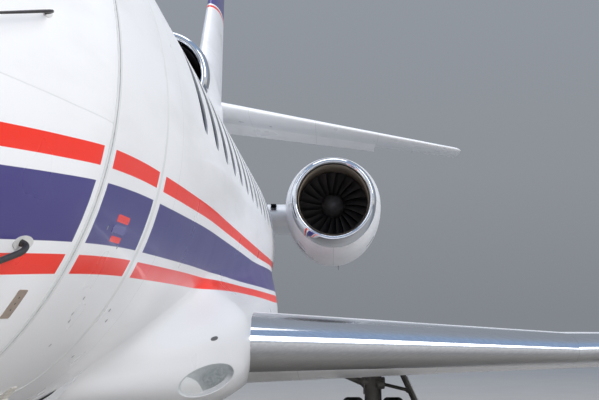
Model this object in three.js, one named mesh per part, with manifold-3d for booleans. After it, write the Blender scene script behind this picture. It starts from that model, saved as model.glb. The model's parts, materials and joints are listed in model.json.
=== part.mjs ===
// Business jet with three engines, parked on its landing gear.
// Millimetres. The nose points along -Y, the port (left) side is +X and +Z is up.
// A station, s in the tables, is the distance aft of the nose tip.
// The origin is on the ground, midway along the jet and under its centreline.
import * as THREE from 'three';
import { mergeVertices } from 'three/addons/utils/BufferGeometryUtils.js';
import Module from 'manifold-3d';

const wasm = await Module();
wasm.setup();

// Overall size
const LENGTH = 20210;
const HALF_SPAN = 9665;
const HEIGHT = 7550;

// Clearances between pieces
const FIT = 0.4;
const DOOR_GAP = 7;
const SURFACE_GAP = 10;
const END_GAP = 16;
const HINGE_PIN = { radius: 12, root: 40, sides: 8 };

// Fuselage: the heights of its crown, keel and widest line, and its half width
const FUSELAGE = table(['s', 'top', 'bottom', 'half', 'wide'], [
  [0, 1800, 1760, 30, 1780],
  [40, 1870, 1700, 105, 1782],
  [120, 1950, 1650, 180, 1788],
  [250, 2030, 1595, 262, 1800],
  [700, 2280, 1440, 480, 1850],
  [1300, 2510, 1280, 680, 1910],
  [1800, 2665, 1180, 805, 1950],
  [2300, 2935, 1100, 925, 2020],
  [2900, 3260, 1020, 1050, 2100],
  [3400, 3375, 985, 1155, 2165],
  [3760, 3410, 970, 1213, 2190],
  [4610, 3440, 955, 1240, 2200],
  [5200, 3450, 950, 1250, 2200],
  [12400, 3450, 950, 1250, 2200],
  [13600, 3430, 1060, 1210, 2240],
  [15000, 3360, 1370, 1080, 2370],
  [16400, 3220, 1760, 840, 2490],
  [17600, 3060, 2070, 580, 2565],
  [18600, 2965, 2235, 365, 2600],
]);
const FUSELAGE_SIDES = 40;
const FUSELAGE_RADIUS = 1250;
const WALL = 90;
const REAR_WALL = 55;

// Stations of the fuselage joints and bulkheads
const RADOME_END = 1150;
const NOSE_BULKHEAD = 1800;
const FORWARD_END = 5000;
const CABIN_END = 12600;
const REAR_END = 15600;
const TAIL_END = 18600;

// Passenger door, a sector of the fuselage side, hinged along its lower edge
const DOOR = { from: -56, to: 35, near: [3760, 3760], far: [4610, 4610], corner: 150 };
const DOOR_HINGE = { stand: 14, radius: 15.9, stations: [3980, 4185, 4390], width: 70 };
const STEP = { width: 600, tread: 190, thick: 45, root: 20 };
const STEP_ANGLES = [-41, -24, -7, 10];
const HINGE_LEAF = table(['angle', 'inset'], [[0, -20], [3, -6], [3, 8], [0.7, 8], [0.1, -3]]);

// Cockpit panes as sectors of the port side, in degrees above the widest line.
// near and far are the stations of the forward and aft edges, at from and at to.
const CENTER_PANE = { from: 82, to: 98, near: [2020, 2020], far: [2730, 2730], corner: 45 };
const FRONT_PANE = { from: 35, to: 79, near: [2130, 2020], far: [2560, 2740], corner: 55 };
const SIDE_PANE = { from: 11, to: 41, near: [2330, 2680], far: [3060, 3080], corner: 60 };
const PANE = { recess: 4, thick: 30, edge: 0.6 };

// Floor, partitions and cockpit fittings
const FLOOR = { top: 1480, thick: 80, start: 1815, end: 12250, bayHalf: 600, half: 2000 };
const PARTITION = { s: 3400, thick: 50, aisleHalf: 330, aisleTop: 3200 };
const DOORWAY_FLOOR_MARGIN = 60;
const REAR_BULKHEAD = { s: 12200, thick: 45 };
const COCKPIT_FLOOR = FLOOR.top + FIT;
const COCKPIT = {
  middle: table(['half', 'start', 'end', 'bottom', 'top'], [
    [560, 2080, 3180, COCKPIT_FLOOR, COCKPIT_FLOOR + 30],
    [700, 2080, 2260, 1700, 2230],
    [130, 2080, 3050, COCKPIT_FLOOR, 1950],
  ]),
  seatX: 400,
  seat: table(['half', 'start', 'end', 'bottom', 'top'], [
    [110, 2760, 3040, COCKPIT_FLOOR, 1860],
    [220, 2620, 3130, 1840, 1980],
    [210, 3040, 3150, 1970, 2560],
  ]),
};

// Belly fairing that carries the wing: half width, crown, keel and widest height
const FAIRING = table(['s', 'half', 'top', 'bottom', 'wide'], [
  [5400, 640, 1380, 1010, 1190],
  [6000, 1000, 1500, 925, 1230],
  [6600, 1255, 1640, 845, 1290],
  [7100, 1375, 1760, 800, 1330],
  [8500, 1390, 1860, 770, 1360],
  [10500, 1382, 2050, 770, 1420],
  [12000, 1310, 2150, 800, 1520],
  [13000, 1150, 2020, 945, 1500],
  [14000, 800, 1760, 1180, 1480],
  [14500, 480, 1620, 1400, 1500],
]);
const FAIRING_SIDES = 36;
const FAIRING_POWER = 2.5;

// Landing light in the nose of the fairing: an oval window looking forward
const LIGHT = { x: 1150, z: 1105, halfWide: 150, halfHigh: 92, start: 5900, end: 7600, deep: 60, recess: 2 };

// Flying surfaces. at is the distance along the surface from the centreline or the ground,
// s and chord give the section's leading edge and length, and drop is how far its trailing edge
// hangs per unit of chord.
const WING = {
  rows: table(['at', 's', 'chord', 'height', 'thick', 'drop'], [
    [1150, 6957, 4342, 1309, 0.112, 0.055],
    [3560, 8410, 2900, 1217, 0.095, 0.03],
    [9520, 11475, 1045, 1235, 0.08, 0],
    [HALF_SPAN, 11680, 810, 1240, 0.045, 0],
  ]),
  place: (at, aft, up) => new THREE.Vector3(at, aft, up),
};
const TAILPLANE = {
  rows: table(['at', 's', 'chord', 'height', 'thick', 'drop'], [
    [0, 15650, 1900, 4350, 0.095, 0],
    [3800, 18007, 918, 4006, 0.08, 0],
    [3870, 18130, 770, 4000, 0.045, 0],
  ]),
  place: (at, aft, up) => new THREE.Vector3(at, aft, up),
};
const FIN = {
  rows: table(['at', 's', 'chord', 'height', 'thick', 'drop'], [
    [2950, 14571, 4619, 0, 0.088, 0],
    [4340, 15900, 3620, 0, 0.088, 0],
    [7480, 18980, 1213, 0, 0.09, 0],
    [HEIGHT, 19110, 1100, 0, 0.05, 0],
  ]),
  place: (at, aft, up) => new THREE.Vector3(up, aft, at),
};
const TRAILING_EDGE = 6;
const FIN_FOOT = 2990;

// Half the width of the boxes that trim the tail
const SLAB = 600;

// Movable and fixed parts of the surfaces, as spans and chord fractions
const SLAT = { from: 1000, seam: 3560, to: 9380, upper: 0.145, lower: 0.085 };
const FLAP = { from: 2760, to: 6800, upper: 0.735, lower: 0.745 };
const AILERON = { from: 6900, to: 9200, hinge: 0.76 };
const ELEVATOR = { from: 230, to: 2560, hinge: 0.7, droop: 14 };
const RUDDER = { from: 3720, to: 7240, hinge: 0.7, endGap: 27 };

// Side engines. Distances in the tables run aft from the plane of the intake lip, and sag is how far
// the lower half of a ring hangs below the round.
const ENGINE = { x: 1880, z: 2640, lip: 12080 };
const LIP_PROFILE = table(['aft', 'radius', 'sag'], [
  [0, 396, 1],
  [14, 376, 1],
  [60, 361, 1],
  [200, 360, 1],
  [200, 446, 1.09],
  [110, 436, 1.06],
  [45, 422, 1.03],
  [10, 408, 1.01],
]);
const COWL = table(['aft', 'outer', 'inner', 'sag'], [
  [200.4, 446, 360, 1.09],
  [600, 505, 385, 1.14],
  [1300, 530, 385, 1.18],
  [2200, 510, 385, 1.17],
  [2750, 458, 385, 1.1],
  [3250, 382, 340, 1.03],
  [3600, 328, 306, 1],
]);
const COWL_SIDES = 28;
const CORE = { front: 1000, back: 2700, radius: 384.4, cone: 190, coneTip: 30, end: 3720 };
const FAN = {
  front: 745,
  back: 935,
  hub: 118,
  tip: 376,
  spinner: 560,
  shaft: 60,
  blades: 24,
  chord: [118, 142],
  thick: 9,
  stagger: [22, 60],
  swirl: 26,
};
const PYLON = { z: 2590, half: 98, from: 1000, to: 1700, start: 12800, end: 15450, blunt: 424 };
const PYLON_EDGE = 0.08;

// Middle engine, fed by the intake ahead of the fin and blowing out of the tail
const TOP_INTAKE = { z: 4100, lip: 12840, lipDeep: 150 };
const TOP_LIP_PROFILE = table(['aft', 'radius'], [
  [0, 450], [16, 424], [70, 404], [150, 400], [150, 490], [80, 486], [20, 474],
]);
const INTAKE_DUCT = table(['s', 'top', 'bottom', 'half', 'wide'], [
  [12900, 4500, 3700, 400, 4100],
  [13500, 4485, 3700, 392, 4092],
  [14500, 4400, 3660, 370, 4030],
]);
const INTAKE_FAIRING = table(['s', 'top', 'bottom', 'half', 'wide'], [
  [12990.4, 4590, 3610, 490, 4100],
  [13500, 4625, 3480, 520, 4060],
  [14500, 4600, 3150, 505, 3950],
  [15500, 4520, 2950, 430, 3830],
  [16600, 4330, 2900, 310, 3700],
  [17400, 3960, 2900, 190, 3480],
  [17900, 3650, 2900, 110, 3300],
]);
const INTAKE_HOLLOW = [14700, 17000];
const TAIL_BORE = { z: 2600, radius: 326, start: 16800, length: 4000, seat: 18150 };
const TAIL_CORE_PROFILE = table(['aft', 'radius'], [
  [0, 0], [0, 325.6], [1800, 325.6], [2090, 306], [2090, 290],
  [1500, 290], [1500, 150], [1980, 45], [2010, 0],
]);

// Landing gear. spread is half the distance between the middles of twin wheels.
const TYRE_SIDES = 24;
const STRUT_SIDES = 12;
const MAIN_WHEEL = { s: 10800, x: 2225, radius: 368, half: 98, rim: 196, spread: 178, axle: 44 };
const NOSE_WHEEL = { s: 2890, x: 0, radius: 222, half: 73, rim: 112, spread: 128, axle: 30 };
const AXLE_CLEARANCE = 0.8;
const MAIN_LEG = { top: 1120, cylinder: 76, cylinderEnd: 640, piston: 52, knuckle: 84, knuckleHalf: 62 };
const MAIN_TRUNNION = { half: 50, z: 700, radius: 100 };
const MAIN_LINKS = { half: 30, aft: [60, 190], inner: 150, low: [30, 75], high: [45, 90] };
const NOSE_LINKS = { half: 22, aft: [30, 130], inner: 98, low: [20, 52], high: [-92, -60] };
const MAIN_BRACE = { from: [2180, 840], to: [1600, 1090], radius: 32 };
const MAIN_DOOR = { top: [2400, 1110], bottom: [2690, 470], start: 10380, end: 11060, thick: 28 };
const MAIN_DOOR_LINK = { from: [2260, 858], to: [2530, 790], radius: 16 };
const NOSE_LEG = {
  cylinder: 62,
  cylinderEnd: 600,
  collar: 86,
  collarHigh: 90,
  piston: 44,
  knuckle: 58,
  knuckleHalf: 42,
};
const NOSE_BAY = { half: 170, start: 2640, end: 3260, top: 1250 };
const NOSE_DOOR = { s: 2740, thick: 20, half: 120, top: 985, bottom: 690, linkZ: 830, link: 16 };
const BORE_REACH = 400;

// Colours, as three.js hex numbers, with roughness and metalness
const WHITE = { color: 0xf1f2f3, roughness: 0.25, metalness: 0 };
const POLISHED = { color: 0xc9cdd2, roughness: 0.18, metalness: 1 };
const TITANIUM = { color: 0x8d8780, roughness: 0.35, metalness: 1 };
const CORE_METAL = { color: 0x3b3d40, roughness: 0.6, metalness: 0.8 };
const FAN_METAL = { color: 0x2b2d31, roughness: 0.4, metalness: 0.9 };
const GLAZING = { color: 0x10161c, roughness: 0.05, metalness: 0 };
const LAMP = { color: 0xdadfe2, roughness: 0.1, metalness: 0 };
const GEAR_PAINT = { color: 0xd5d7d8, roughness: 0.4, metalness: 0.2 };
const TYRE_BLACK = { color: 0x1b1b1c, roughness: 0.85, metalness: 0 };
const CARPET = { color: 0x6f6659, roughness: 0.9, metalness: 0 };
const COCKPIT_GREY = { color: 0x3a3c3f, roughness: 0.7, metalness: 0 };

// Tables and numbers

// Rows of numbers as objects with named columns.
function table(names, rows) {
  return rows.map((row) => Object.fromEntries(names.map((name, i) => [name, row[i]])));
}

const radians = THREE.MathUtils.degToRad;
const mix = THREE.MathUtils.lerp;
const atStation = (s) => s - LENGTH / 2;

// A table's column at a key between two rows, on straight lines.
function straight(rows, key, column, value) {
  let i = 0;
  while (i < rows.length - 2 && rows[i + 1][key] < value) i += 1;
  const share = (value - rows[i][key]) / (rows[i + 1][key] - rows[i][key]);
  return mix(rows[i][column], rows[i + 1][column], share);
}

const steps = (count, from, to) => Array.from({ length: count + 1 }, (_, i) => mix(from, to, i / count));

// Solids

// A three.js geometry, closed once its shared corners are merged, as a solid with its faces out.
function solid(geometry) {
  const bare = geometry.clone();
  bare.deleteAttribute('normal');
  bare.deleteAttribute('uv');
  const merged = mergeVertices(bare, 1e-3);
  const position = merged.attributes.position;
  const pointAt = (i) => new THREE.Vector3().fromBufferAttribute(position, i);
  const points = Array.from({ length: position.count }, (_, i) => pointAt(i));
  const faces = [];
  for (let i = 0; i < merged.index.count; i += 3) {
    const face = [0, 1, 2].map((corner) => merged.index.getX(i + corner));
    if (new Set(face).size === 3) faces.push(face);
  }
  if (volumeOf(points, faces) < 0) faces.forEach((face) => face.reverse());
  return new wasm.Manifold(new wasm.Mesh({
    numProp: 3,
    vertProperties: new Float32Array(position.array),
    triVerts: new Uint32Array(faces.flat()),
  }));
}

// A solid as a three.js geometry with flat faces.
function geometryOf(shape) {
  const mesh = shape.getMesh();
  const geometry = new THREE.BufferGeometry();
  geometry.setAttribute('position', new THREE.BufferAttribute(mesh.vertProperties, 3));
  geometry.setIndex(new THREE.BufferAttribute(mesh.triVerts, 1));
  return geometry;
}

// A solid moved by a three.js matrix.
const moved = (shape, matrix) => solid(geometryOf(shape).applyMatrix4(matrix));

const join = (...shapes) => shapes.reduce((all, shape) => all.add(shape));
const cut = (shape, ...tools) => tools.reduce((rest, tool) => rest.subtract(tool), shape);
const within = (shape, region) => shape.intersect(region);

// The closed skin over a list of rings with equal numbers of points. The two ends get flat caps,
// or are joined to each other when the list is a loop. Its four-sided patches are split along
// diagonals that are mirror images on the two sides of the jet.
function loft(rings, loop = false) {
  const sides = rings[0].length;
  const points = rings.flat();
  const faces = [];
  const bands = loop ? rings.length : rings.length - 1;
  for (let i = 0; i < bands; i += 1) {
    const near = i * sides;
    const far = ((i + 1) % rings.length) * sides;
    for (let j = 0; j < sides; j += 1) {
      const next = (j + 1) % sides;
      const quad = [near + j, near + next, far + next, far + j];
      const starboard = quad.reduce((sum, corner) => sum + points[corner].x, 0) < 0;
      const [a, b, c, d] = starboard ? [...quad.slice(1), quad[0]] : quad;
      faces.push([a, b, c], [a, c, d]);
    }
  }
  if (!loop) {
    const last = (rings.length - 1) * sides;
    capTriangles(rings[0]).forEach(([a, b, c]) => faces.push([a, c, b]));
    capTriangles(rings.at(-1)).forEach(([a, b, c]) => faces.push([last + a, last + b, last + c]));
  }
  const geometry = new THREE.BufferGeometry().setFromPoints(points);
  geometry.setIndex(faces.flat());
  return solid(geometry);
}

// The triangles that fill a flat ring, wound the way the ring is.
function capTriangles(ring) {
  const box = new THREE.Box3().setFromPoints(ring);
  const size = box.getSize(new THREE.Vector3());
  const [u, v] = ['x', 'y', 'z'].sort((a, b) => size[b] - size[a]);
  const flat = ring.map((point) => new THREE.Vector2(point[u], point[v]));
  const turnsBack = THREE.ShapeUtils.isClockWise(flat);
  return THREE.ShapeUtils.triangulateShape(flat, []).map(([a, b, c]) => {
    const area = (flat[b].x - flat[a].x) * (flat[c].y - flat[a].y)
      - (flat[c].x - flat[a].x) * (flat[b].y - flat[a].y);
    return (area < 0) === turnsBack ? [a, b, c] : [a, c, b];
  });
}

function volumeOf(points, faces) {
  const term = ([a, b, c]) => points[a].dot(new THREE.Vector3().crossVectors(points[b], points[c]));
  return faces.reduce((sum, face) => sum + term(face), 0) / 6;
}

// A box between two corners.
function box(low, high) {
  const size = high.map((value, i) => value - low[i]);
  const middle = high.map((value, i) => (value + low[i]) / 2);
  return solid(new THREE.BoxGeometry(...size).translate(...middle));
}

// A round bar between two points.
function bar(from, to, radius, sides = STRUT_SIDES) {
  const start = new THREE.Vector3(...from);
  const way = new THREE.Vector3(...to).sub(start);
  const geometry = new THREE.CylinderGeometry(radius, radius, way.length(), sides);
  geometry.translate(0, way.length() / 2, 0);
  geometry.applyQuaternion(new THREE.Quaternion().setFromUnitVectors(
    new THREE.Vector3(0, 1, 0),
    way.normalize(),
  ));
  return solid(geometry.translate(start.x, start.y, start.z));
}

// A profile of rows with aft and radius, turned about the Y axis. It starts and ends on the axis,
// or is a loop that closes on itself.
function turned(profile, sides, loop = false) {
  const points = profile.map((row) => new THREE.Vector2(row.radius, row.aft));
  if (loop) points.push(points[0].clone());
  return solid(new THREE.LatheGeometry(points, sides));
}

// A section through a body whose table has top, bottom, half and wide, as a ring of points.
// inset draws it in evenly, and a power above 2 squares it off.
function sectionRing(rows, s, { inset = 0, sides = FUSELAGE_SIDES, power = 2 } = {}) {
  return Array.from({ length: sides }, (_, i) => {
    const angle = (i / sides) * 360;
    return sectionPoint(rows, s, angle, inset, power);
  });
}

function sectionPoint(rows, s, angle, inset = 0, power = 2) {
  const sine = Math.sin(radians(angle));
  const cosine = Math.cos(radians(angle));
  const round = (value) => Math.sign(value) * Math.abs(value) ** (2 / power);
  const wide = straight(rows, 's', 'wide', s);
  const rise = sine > 0 ? straight(rows, 's', 'top', s) - wide : wide - straight(rows, 's', 'bottom', s);
  const half = straight(rows, 's', 'half', s) - inset;
  return new THREE.Vector3(half * round(cosine), atStation(s), wide + (rise - inset) * round(sine));
}

// A body lofted between two stations, with a ring at each row between them.
function body(rows, from, to, options = {}) {
  const between = rows.map((row) => row.s).filter((s) => s > from + 1 && s < to - 1);
  return loft([from, ...between, to].map((s) => sectionRing(rows, s, options)));
}

const hull = (from, to, inset = 0) => body(FUSELAGE, from, to, { inset });

// A sector through the fuselage wall, between inset outer and inset inner. near and far are the
// stations of its two edges at its lowest and highest angle, and its corners are round.
function sector(shape, outer, inner, shrink = 0) {
  const narrow = THREE.MathUtils.radToDeg(shrink / FUSELAGE_RADIUS);
  const from = shape.from + narrow;
  const to = shape.to - narrow;
  const reach = radians(to - from) * straight(FUSELAGE, 's', 'half', (shape.near[0] + shape.far[0]) / 2);
  const corner = shape.corner;
  const corners = [0, 0.3].map((share) => (share * corner) / reach);
  const middle = steps(Math.max(1, Math.round((to - from) / 10)), corner / reach, 1 - corner / reach);
  const shares = [...corners, ...middle, ...corners.map((share) => 1 - share).reverse()];
  return loft(shares.map((share) => {
    const edge = Math.min(share, 1 - share) * reach;
    const rest = Math.max(0, corner - edge);
    const round = corner - Math.sqrt(Math.max(0, corner ** 2 - rest ** 2));
    const near = mix(shape.near[0], shape.near[1], share) + round + shrink;
    const far = mix(shape.far[0], shape.far[1], share) - round - shrink;
    const angle = mix(from, to, share);
    return [[near, outer], [far, outer], [far, inner], [near, inner]].map(
      ([s, inset]) => sectionPoint(FUSELAGE, s, angle, inset),
    );
  }));
}

const THROUGH = { outer: -150, inner: 250 };
const opening = (shape, shrink = 0) => sector(shape, THROUGH.outer, THROUGH.inner, shrink);
const reflected = (shape) => moved(shape, new THREE.Matrix4().makeScale(-1, 1, 1));

// Fuselage

const sidePanes = [FRONT_PANE, SIDE_PANE].map((shape) => opening(shape));
const paneHoles = [opening(CENTER_PANE), ...sidePanes, ...sidePanes.map(reflected)];

function radome() {
  return hull(0, RADOME_END);
}

// Solid up to the cockpit bulkhead, then a shell with its panes, door and nose wheel bay cut out.
function forwardFuselage() {
  const outside = hull(RADOME_END + FIT, FORWARD_END);
  const inside = hull(NOSE_BULKHEAD, FORWARD_END + WALL, WALL);
  const bay = box(
    [-NOSE_BAY.half, atStation(NOSE_BAY.start), 0],
    [NOSE_BAY.half, atStation(NOSE_BAY.end), NOSE_BAY.top],
  );
  return cut(outside, inside, bay, opening(DOOR), ...paneHoles);
}

function pane(shape) {
  const inset = PANE.recess + PANE.thick;
  const [from, to] = [NOSE_BULKHEAD, PARTITION.s];
  return cut(within(opening(shape, PANE.edge), hull(from, to, PANE.recess)), hull(from - 1, to + 1, inset));
}

function cabinFuselage() {
  return cut(hull(FORWARD_END + FIT, CABIN_END), hull(FORWARD_END - WALL, CABIN_END + WALL, WALL));
}

function rearFuselage() {
  return cut(hull(CABIN_END + FIT, REAR_END), hull(CABIN_END - WALL, REAR_END - WALL, REAR_WALL));
}

function tailCone() {
  const { radius, start, length, z } = TAIL_BORE;
  const bore = new THREE.CylinderGeometry(radius, radius, length, COWL_SIDES);
  bore.translate(0, atStation(start) + length / 2, z);
  return cut(hull(REAR_END + FIT, TAIL_END), hull(REAR_END - WALL, TAIL_BORE.seat, REAR_WALL), solid(bore));
}

function cabinFloor() {
  const { half, top, thick, start, end } = FLOOR;
  const room = hull(NOSE_BULKHEAD, FLOOR.end + WALL, WALL + FIT);
  const slab = box([-half, atStation(start), top - thick], [half, atStation(end), top]);
  const stairwell = box(
    [FLOOR.bayHalf, atStation(DOOR.near[0] - DOORWAY_FLOOR_MARGIN), 0],
    [half, atStation(DOOR.far[0] + DOORWAY_FLOOR_MARGIN), top + 1],
  );
  const wall = (s, deep) => box([-half, atStation(s), 0], [half, atStation(s + deep), HEIGHT]);
  const aisle = box(
    [-PARTITION.aisleHalf, atStation(PARTITION.s) - 1, top],
    [PARTITION.aisleHalf, atStation(PARTITION.s + PARTITION.thick) + 1, PARTITION.aisleTop],
  );
  const front = cut(wall(PARTITION.s, PARTITION.thick), aisle);
  const rear = wall(REAR_BULKHEAD.s, REAR_BULKHEAD.thick);
  return within(join(cut(slab, stairwell), front, rear), room);
}

// Instrument panel, pedestal and two seats on one base plate.
function cockpitFittings() {
  const block = (x, { half, start, end, bottom, top }) =>
    box([x - half, atStation(start), bottom], [x + half, atStation(end), top]);
  const { seatX, seat, middle } = COCKPIT;
  const blocks = [...middle.map((piece) => block(0, piece)), ...seat.flatMap((piece) => [
    block(-seatX, piece),
    block(seatX, piece),
  ])];
  return within(join(...blocks), hull(NOSE_BULKHEAD, PARTITION.s, WALL + FIT));
}

function passengerDoor() {
  const [start, end] = [DOOR.near[0] - WALL, DOOR.far[0] + WALL];
  const wall = cut(hull(start, end), hull(start - 1, end + 1, WALL));
  const slab = within(wall, opening(DOOR, DOOR_GAP));
  const middle = (DOOR.near[0] + DOOR.far[0]) / 2;
  const treads = STEP_ANGLES.map((angle) => {
    const edge = sectionPoint(FUSELAGE, middle, angle, WALL - STEP.root);
    return box(
      [edge.x - STEP.tread, edge.y - STEP.width / 2, edge.z],
      [edge.x, edge.y + STEP.width / 2, edge.z + STEP.thick],
    );
  });
  return join(slab, ...treads, ...DOOR_HINGE.stations.map(hingeKnuckle));
}

// A knuckle on the door's hinge line, just outside the skin, and the leaf that joins it to the door.
function hingeKnuckle(station) {
  const ends = [station - DOOR_HINGE.width / 2, station + DOOR_HINGE.width / 2];
  const pivots = ends.map((s) => sectionPoint(FUSELAGE, s, DOOR.from, -DOOR_HINGE.stand));
  const leaf = ends.map((s) => HINGE_LEAF.map(
    ({ angle, inset }) => sectionPoint(FUSELAGE, s, DOOR.from + angle, inset),
  ));
  return join(bar(...pivots.map((point) => point.toArray()), DOOR_HINGE.radius), loft(leaf));
}

const fairingBody = (inset = 0) =>
  body(FAIRING, FAIRING[0].s, FAIRING.at(-1).s, { inset, sides: FAIRING_SIDES, power: FAIRING_POWER });

// An oval prism that looks forward, one on each side.
function lightTunnel(side, shrink = 0) {
  const oval = new THREE.CylinderGeometry(1, 1, LIGHT.end - LIGHT.start, 20);
  oval.scale(LIGHT.halfWide - shrink, 1, LIGHT.halfHigh - shrink);
  return solid(oval.translate(side * LIGHT.x, atStation((LIGHT.start + LIGHT.end) / 2), LIGHT.z));
}

function bellyFairing() {
  const pockets = [1, -1].map((side) => cut(lightTunnel(side), fairingBody(LIGHT.deep)));
  return cut(fairingBody(), hull(5000, REAR_END, -FIT), ...pockets);
}

function landingLight(side) {
  const lens = within(lightTunnel(side, 2 * FIT), fairingBody(LIGHT.recess));
  return cut(lens, fairingBody(LIGHT.deep - FIT));
}

// Flying surfaces

// Half the thickness of a section at a fraction of its chord, for a unit chord.
const halfThickness = (fraction, thick) => 5 * thick * (
  0.2969 * Math.sqrt(fraction) - 0.126 * fraction - 0.3516 * fraction ** 2
  + 0.2843 * fraction ** 3 - 0.1036 * fraction ** 4
);

const rowAt = (surface, at) => Object.fromEntries(
  Object.keys(surface.rows[0]).map((column) => [column, straight(surface.rows, 'at', column, at)]),
);

// A point of a surface at a chord fraction, with offsets aft and up in millimetres.
function surfacePoint(surface, at, fraction, aft = 0, up = 0) {
  const row = rowAt(surface, at);
  const middle = row.height - row.drop * fraction * row.chord;
  return surface.place(at, atStation(row.s + fraction * row.chord) + aft, middle + up);
}

const CHORD_FRACTIONS = [0.008, 0.03, 0.075, 0.145, 0.25, 0.4, 0.55, 0.7, 0.85, 1];

// How far the skin stands off the middle of the section at a fraction of its chord.
function skinHeight(surface, at, fraction) {
  const { chord, thick } = rowAt(surface, at);
  return halfThickness(fraction, thick) * chord + (fraction * TRAILING_EDGE) / 2;
}

function surfaceRing(surface, at, inflate = 0) {
  const skin = (side) => (fraction) => surfacePoint(
    surface,
    at,
    fraction,
    fraction === 1 ? inflate : 0,
    side * (skinHeight(surface, at, fraction) + inflate),
  );
  const nose = surfacePoint(surface, at, 0, -inflate);
  return [...[...CHORD_FRACTIONS].reverse().map(skin(1)), nose, ...CHORD_FRACTIONS.map(skin(-1))];
}

const surfaceBody = (surface, inflate = 0) =>
  loft(surface.rows.map((row) => surfaceRing(surface, row.at, inflate)));

// The region of a surface ahead of or behind a slanted cut through its section. upper and lower
// are the chord fractions of the cut above and below, and shift moves it aft.
function cutRegion(surface, from, to, { upper, lower, shift = 0, aft = false }) {
  const high = 260;
  const stops = [from, ...surface.rows.map((row) => row.at).filter((at) => at > from && at < to), to];
  return loft(stops.map((at) => {
    const reach = aft ? rowAt(surface, at).chord + high : -rowAt(surface, at).chord - high;
    const slant = (upper - lower) * rowAt(surface, at).chord;
    const skin = skinHeight(surface, at, (upper + lower) / 2);
    const grow = (slant / 2) * (high / skin - 1);
    return [
      surfacePoint(surface, at, upper, shift + grow, high),
      surfacePoint(surface, at, upper, reach, high),
      surfacePoint(surface, at, lower, reach, -high),
      surfacePoint(surface, at, lower, shift - grow, -high),
    ];
  }));
}

// A control surface with a round nose on its hinge line, and the region that it needs.
function control(surface, { from, to, hinge, endGap = END_GAP }) {
  const ends = [from, to].map((at) => surfacePoint(surface, at, hinge));
  const line = ends[1].clone().sub(ends[0]).normalize();
  const stretch = 1 / Math.sqrt(1 - line.y ** 2);
  const nose = (at, radius, angles) => angles.map((angle) => surfacePoint(
    surface,
    at,
    hinge,
    -radius * stretch * Math.cos(radians(angle)),
    radius * Math.sin(radians(angle)),
  ));
  const lean = Math.sqrt(1 - ((to - from) / ends[0].distanceTo(ends[1])) ** 2) * HINGE_PIN.radius;
  const pin = (...stops) => bar(
    ...stops.map((at) => surfacePoint(surface, at, hinge).toArray()),
    HINGE_PIN.radius,
    HINGE_PIN.sides,
  );
  const arc = steps(8, -90, 90);
  const tail = [hinge + (1 - hinge) * 0.5, 1];
  const part = loft([from + endGap, to - endGap].map((at) => {
    const skin = (side) => (fraction) =>
      surfacePoint(surface, at, fraction, 0, side * skinHeight(surface, at, fraction));
    return [
      ...nose(at, skinHeight(surface, at, hinge), arc),
      ...tail.map(skin(1)),
      ...[...tail].reverse().map(skin(-1)),
    ];
  }));
  const room = loft([from, to].map((at) => {
    const radius = skinHeight(surface, at, hinge) + SURFACE_GAP;
    const reach = (1 - hinge) * rowAt(surface, at).chord + 100;
    return [
      ...nose(at, radius, arc),
      surfacePoint(surface, at, hinge, reach, radius),
      surfacePoint(surface, at, hinge, reach, -radius),
    ];
  }));
  const pinned = join(
    part,
    pin(from + FIT + lean, from + endGap + HINGE_PIN.root),
    pin(to - endGap - HINGE_PIN.root, to - FIT - lean),
  );
  return { part: pinned, room, pivot: ends[0], line };
}

// A solid turned about a line, in degrees by the right-hand rule.
function swung(shape, pivot, line, degrees) {
  const matrix = new THREE.Matrix4().makeTranslation(pivot);
  matrix.multiply(new THREE.Matrix4().makeRotationAxis(line, radians(degrees)));
  matrix.multiply(new THREE.Matrix4().makeTranslation(pivot.clone().negate()));
  return moved(shape, matrix);
}

const wingBody = surfaceBody(WING);
const aileron = control(WING, AILERON);
const elevator = control(TAILPLANE, ELEVATOR);
const rudder = control(FIN, RUDDER);

const slatRegion = (from, to, shift = 0) =>
  cutRegion(WING, from, to, { upper: SLAT.upper, lower: SLAT.lower, shift });
const flapRegion = (from, to, shift = 0) =>
  cutRegion(WING, from, to, { upper: FLAP.upper, lower: FLAP.lower, shift, aft: true });

// The wing between its slats and its flap, outboard of the fairing.
function wing() {
  return cut(
    wingBody,
    slatRegion(SLAT.from, SLAT.to),
    flapRegion(FLAP.from, FLAP.to),
    aileron.room,
    fairingBody(-FIT),
  );
}

const slat = (from, to) => cut(within(wingBody, slatRegion(from, to, -FIT)), fairingBody(-FIT));
const flap = () => within(wingBody, flapRegion(FLAP.from + FIT, FLAP.to - FIT, FIT));

const intakeFairing = (inset = 0) =>
  body(INTAKE_FAIRING, INTAKE_FAIRING[0].s, INTAKE_FAIRING.at(-1).s, { inset, sides: COWL_SIDES });

// The fin stands on the fuselage and round the fairing of the middle engine.
function fin() {
  const above = cut(surfaceBody(FIN), rudder.room, intakeFairing(-FIT), hull(CABIN_END, TAIL_END + 1, -FIT));
  const overhang = box([-SLAB, atStation(TAIL_END), 0], [SLAB, LENGTH, FIN_FOOT]);
  return largest(cut(above, overhang));
}

const tailplane = () => cut(
  surfaceBody(TAILPLANE),
  elevator.room,
  surfaceBody(FIN, FIT),
  intakeFairing(-FIT),
  box([-SLAB, -LENGTH, 0], [0, LENGTH, HEIGHT]),
);

// The biggest of the separate lumps of a solid.
function largest(shape) {
  return shape.decompose().reduce((best, lump) => (lump.volume() > best.volume() ? lump : best));
}

// Engines

// A ring of the side engine's cowl. Its lower half hangs below the round by the sag.
function cowlRing(aft, radius, sag = 1) {
  return Array.from({ length: COWL_SIDES }, (_, i) => {
    const angle = (i / COWL_SIDES) * 2 * Math.PI;
    const low = Math.sin(angle) < 0 ? sag : 1;
    return new THREE.Vector3(radius * Math.cos(angle), aft, radius * Math.sin(angle) * low);
  });
}

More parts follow.
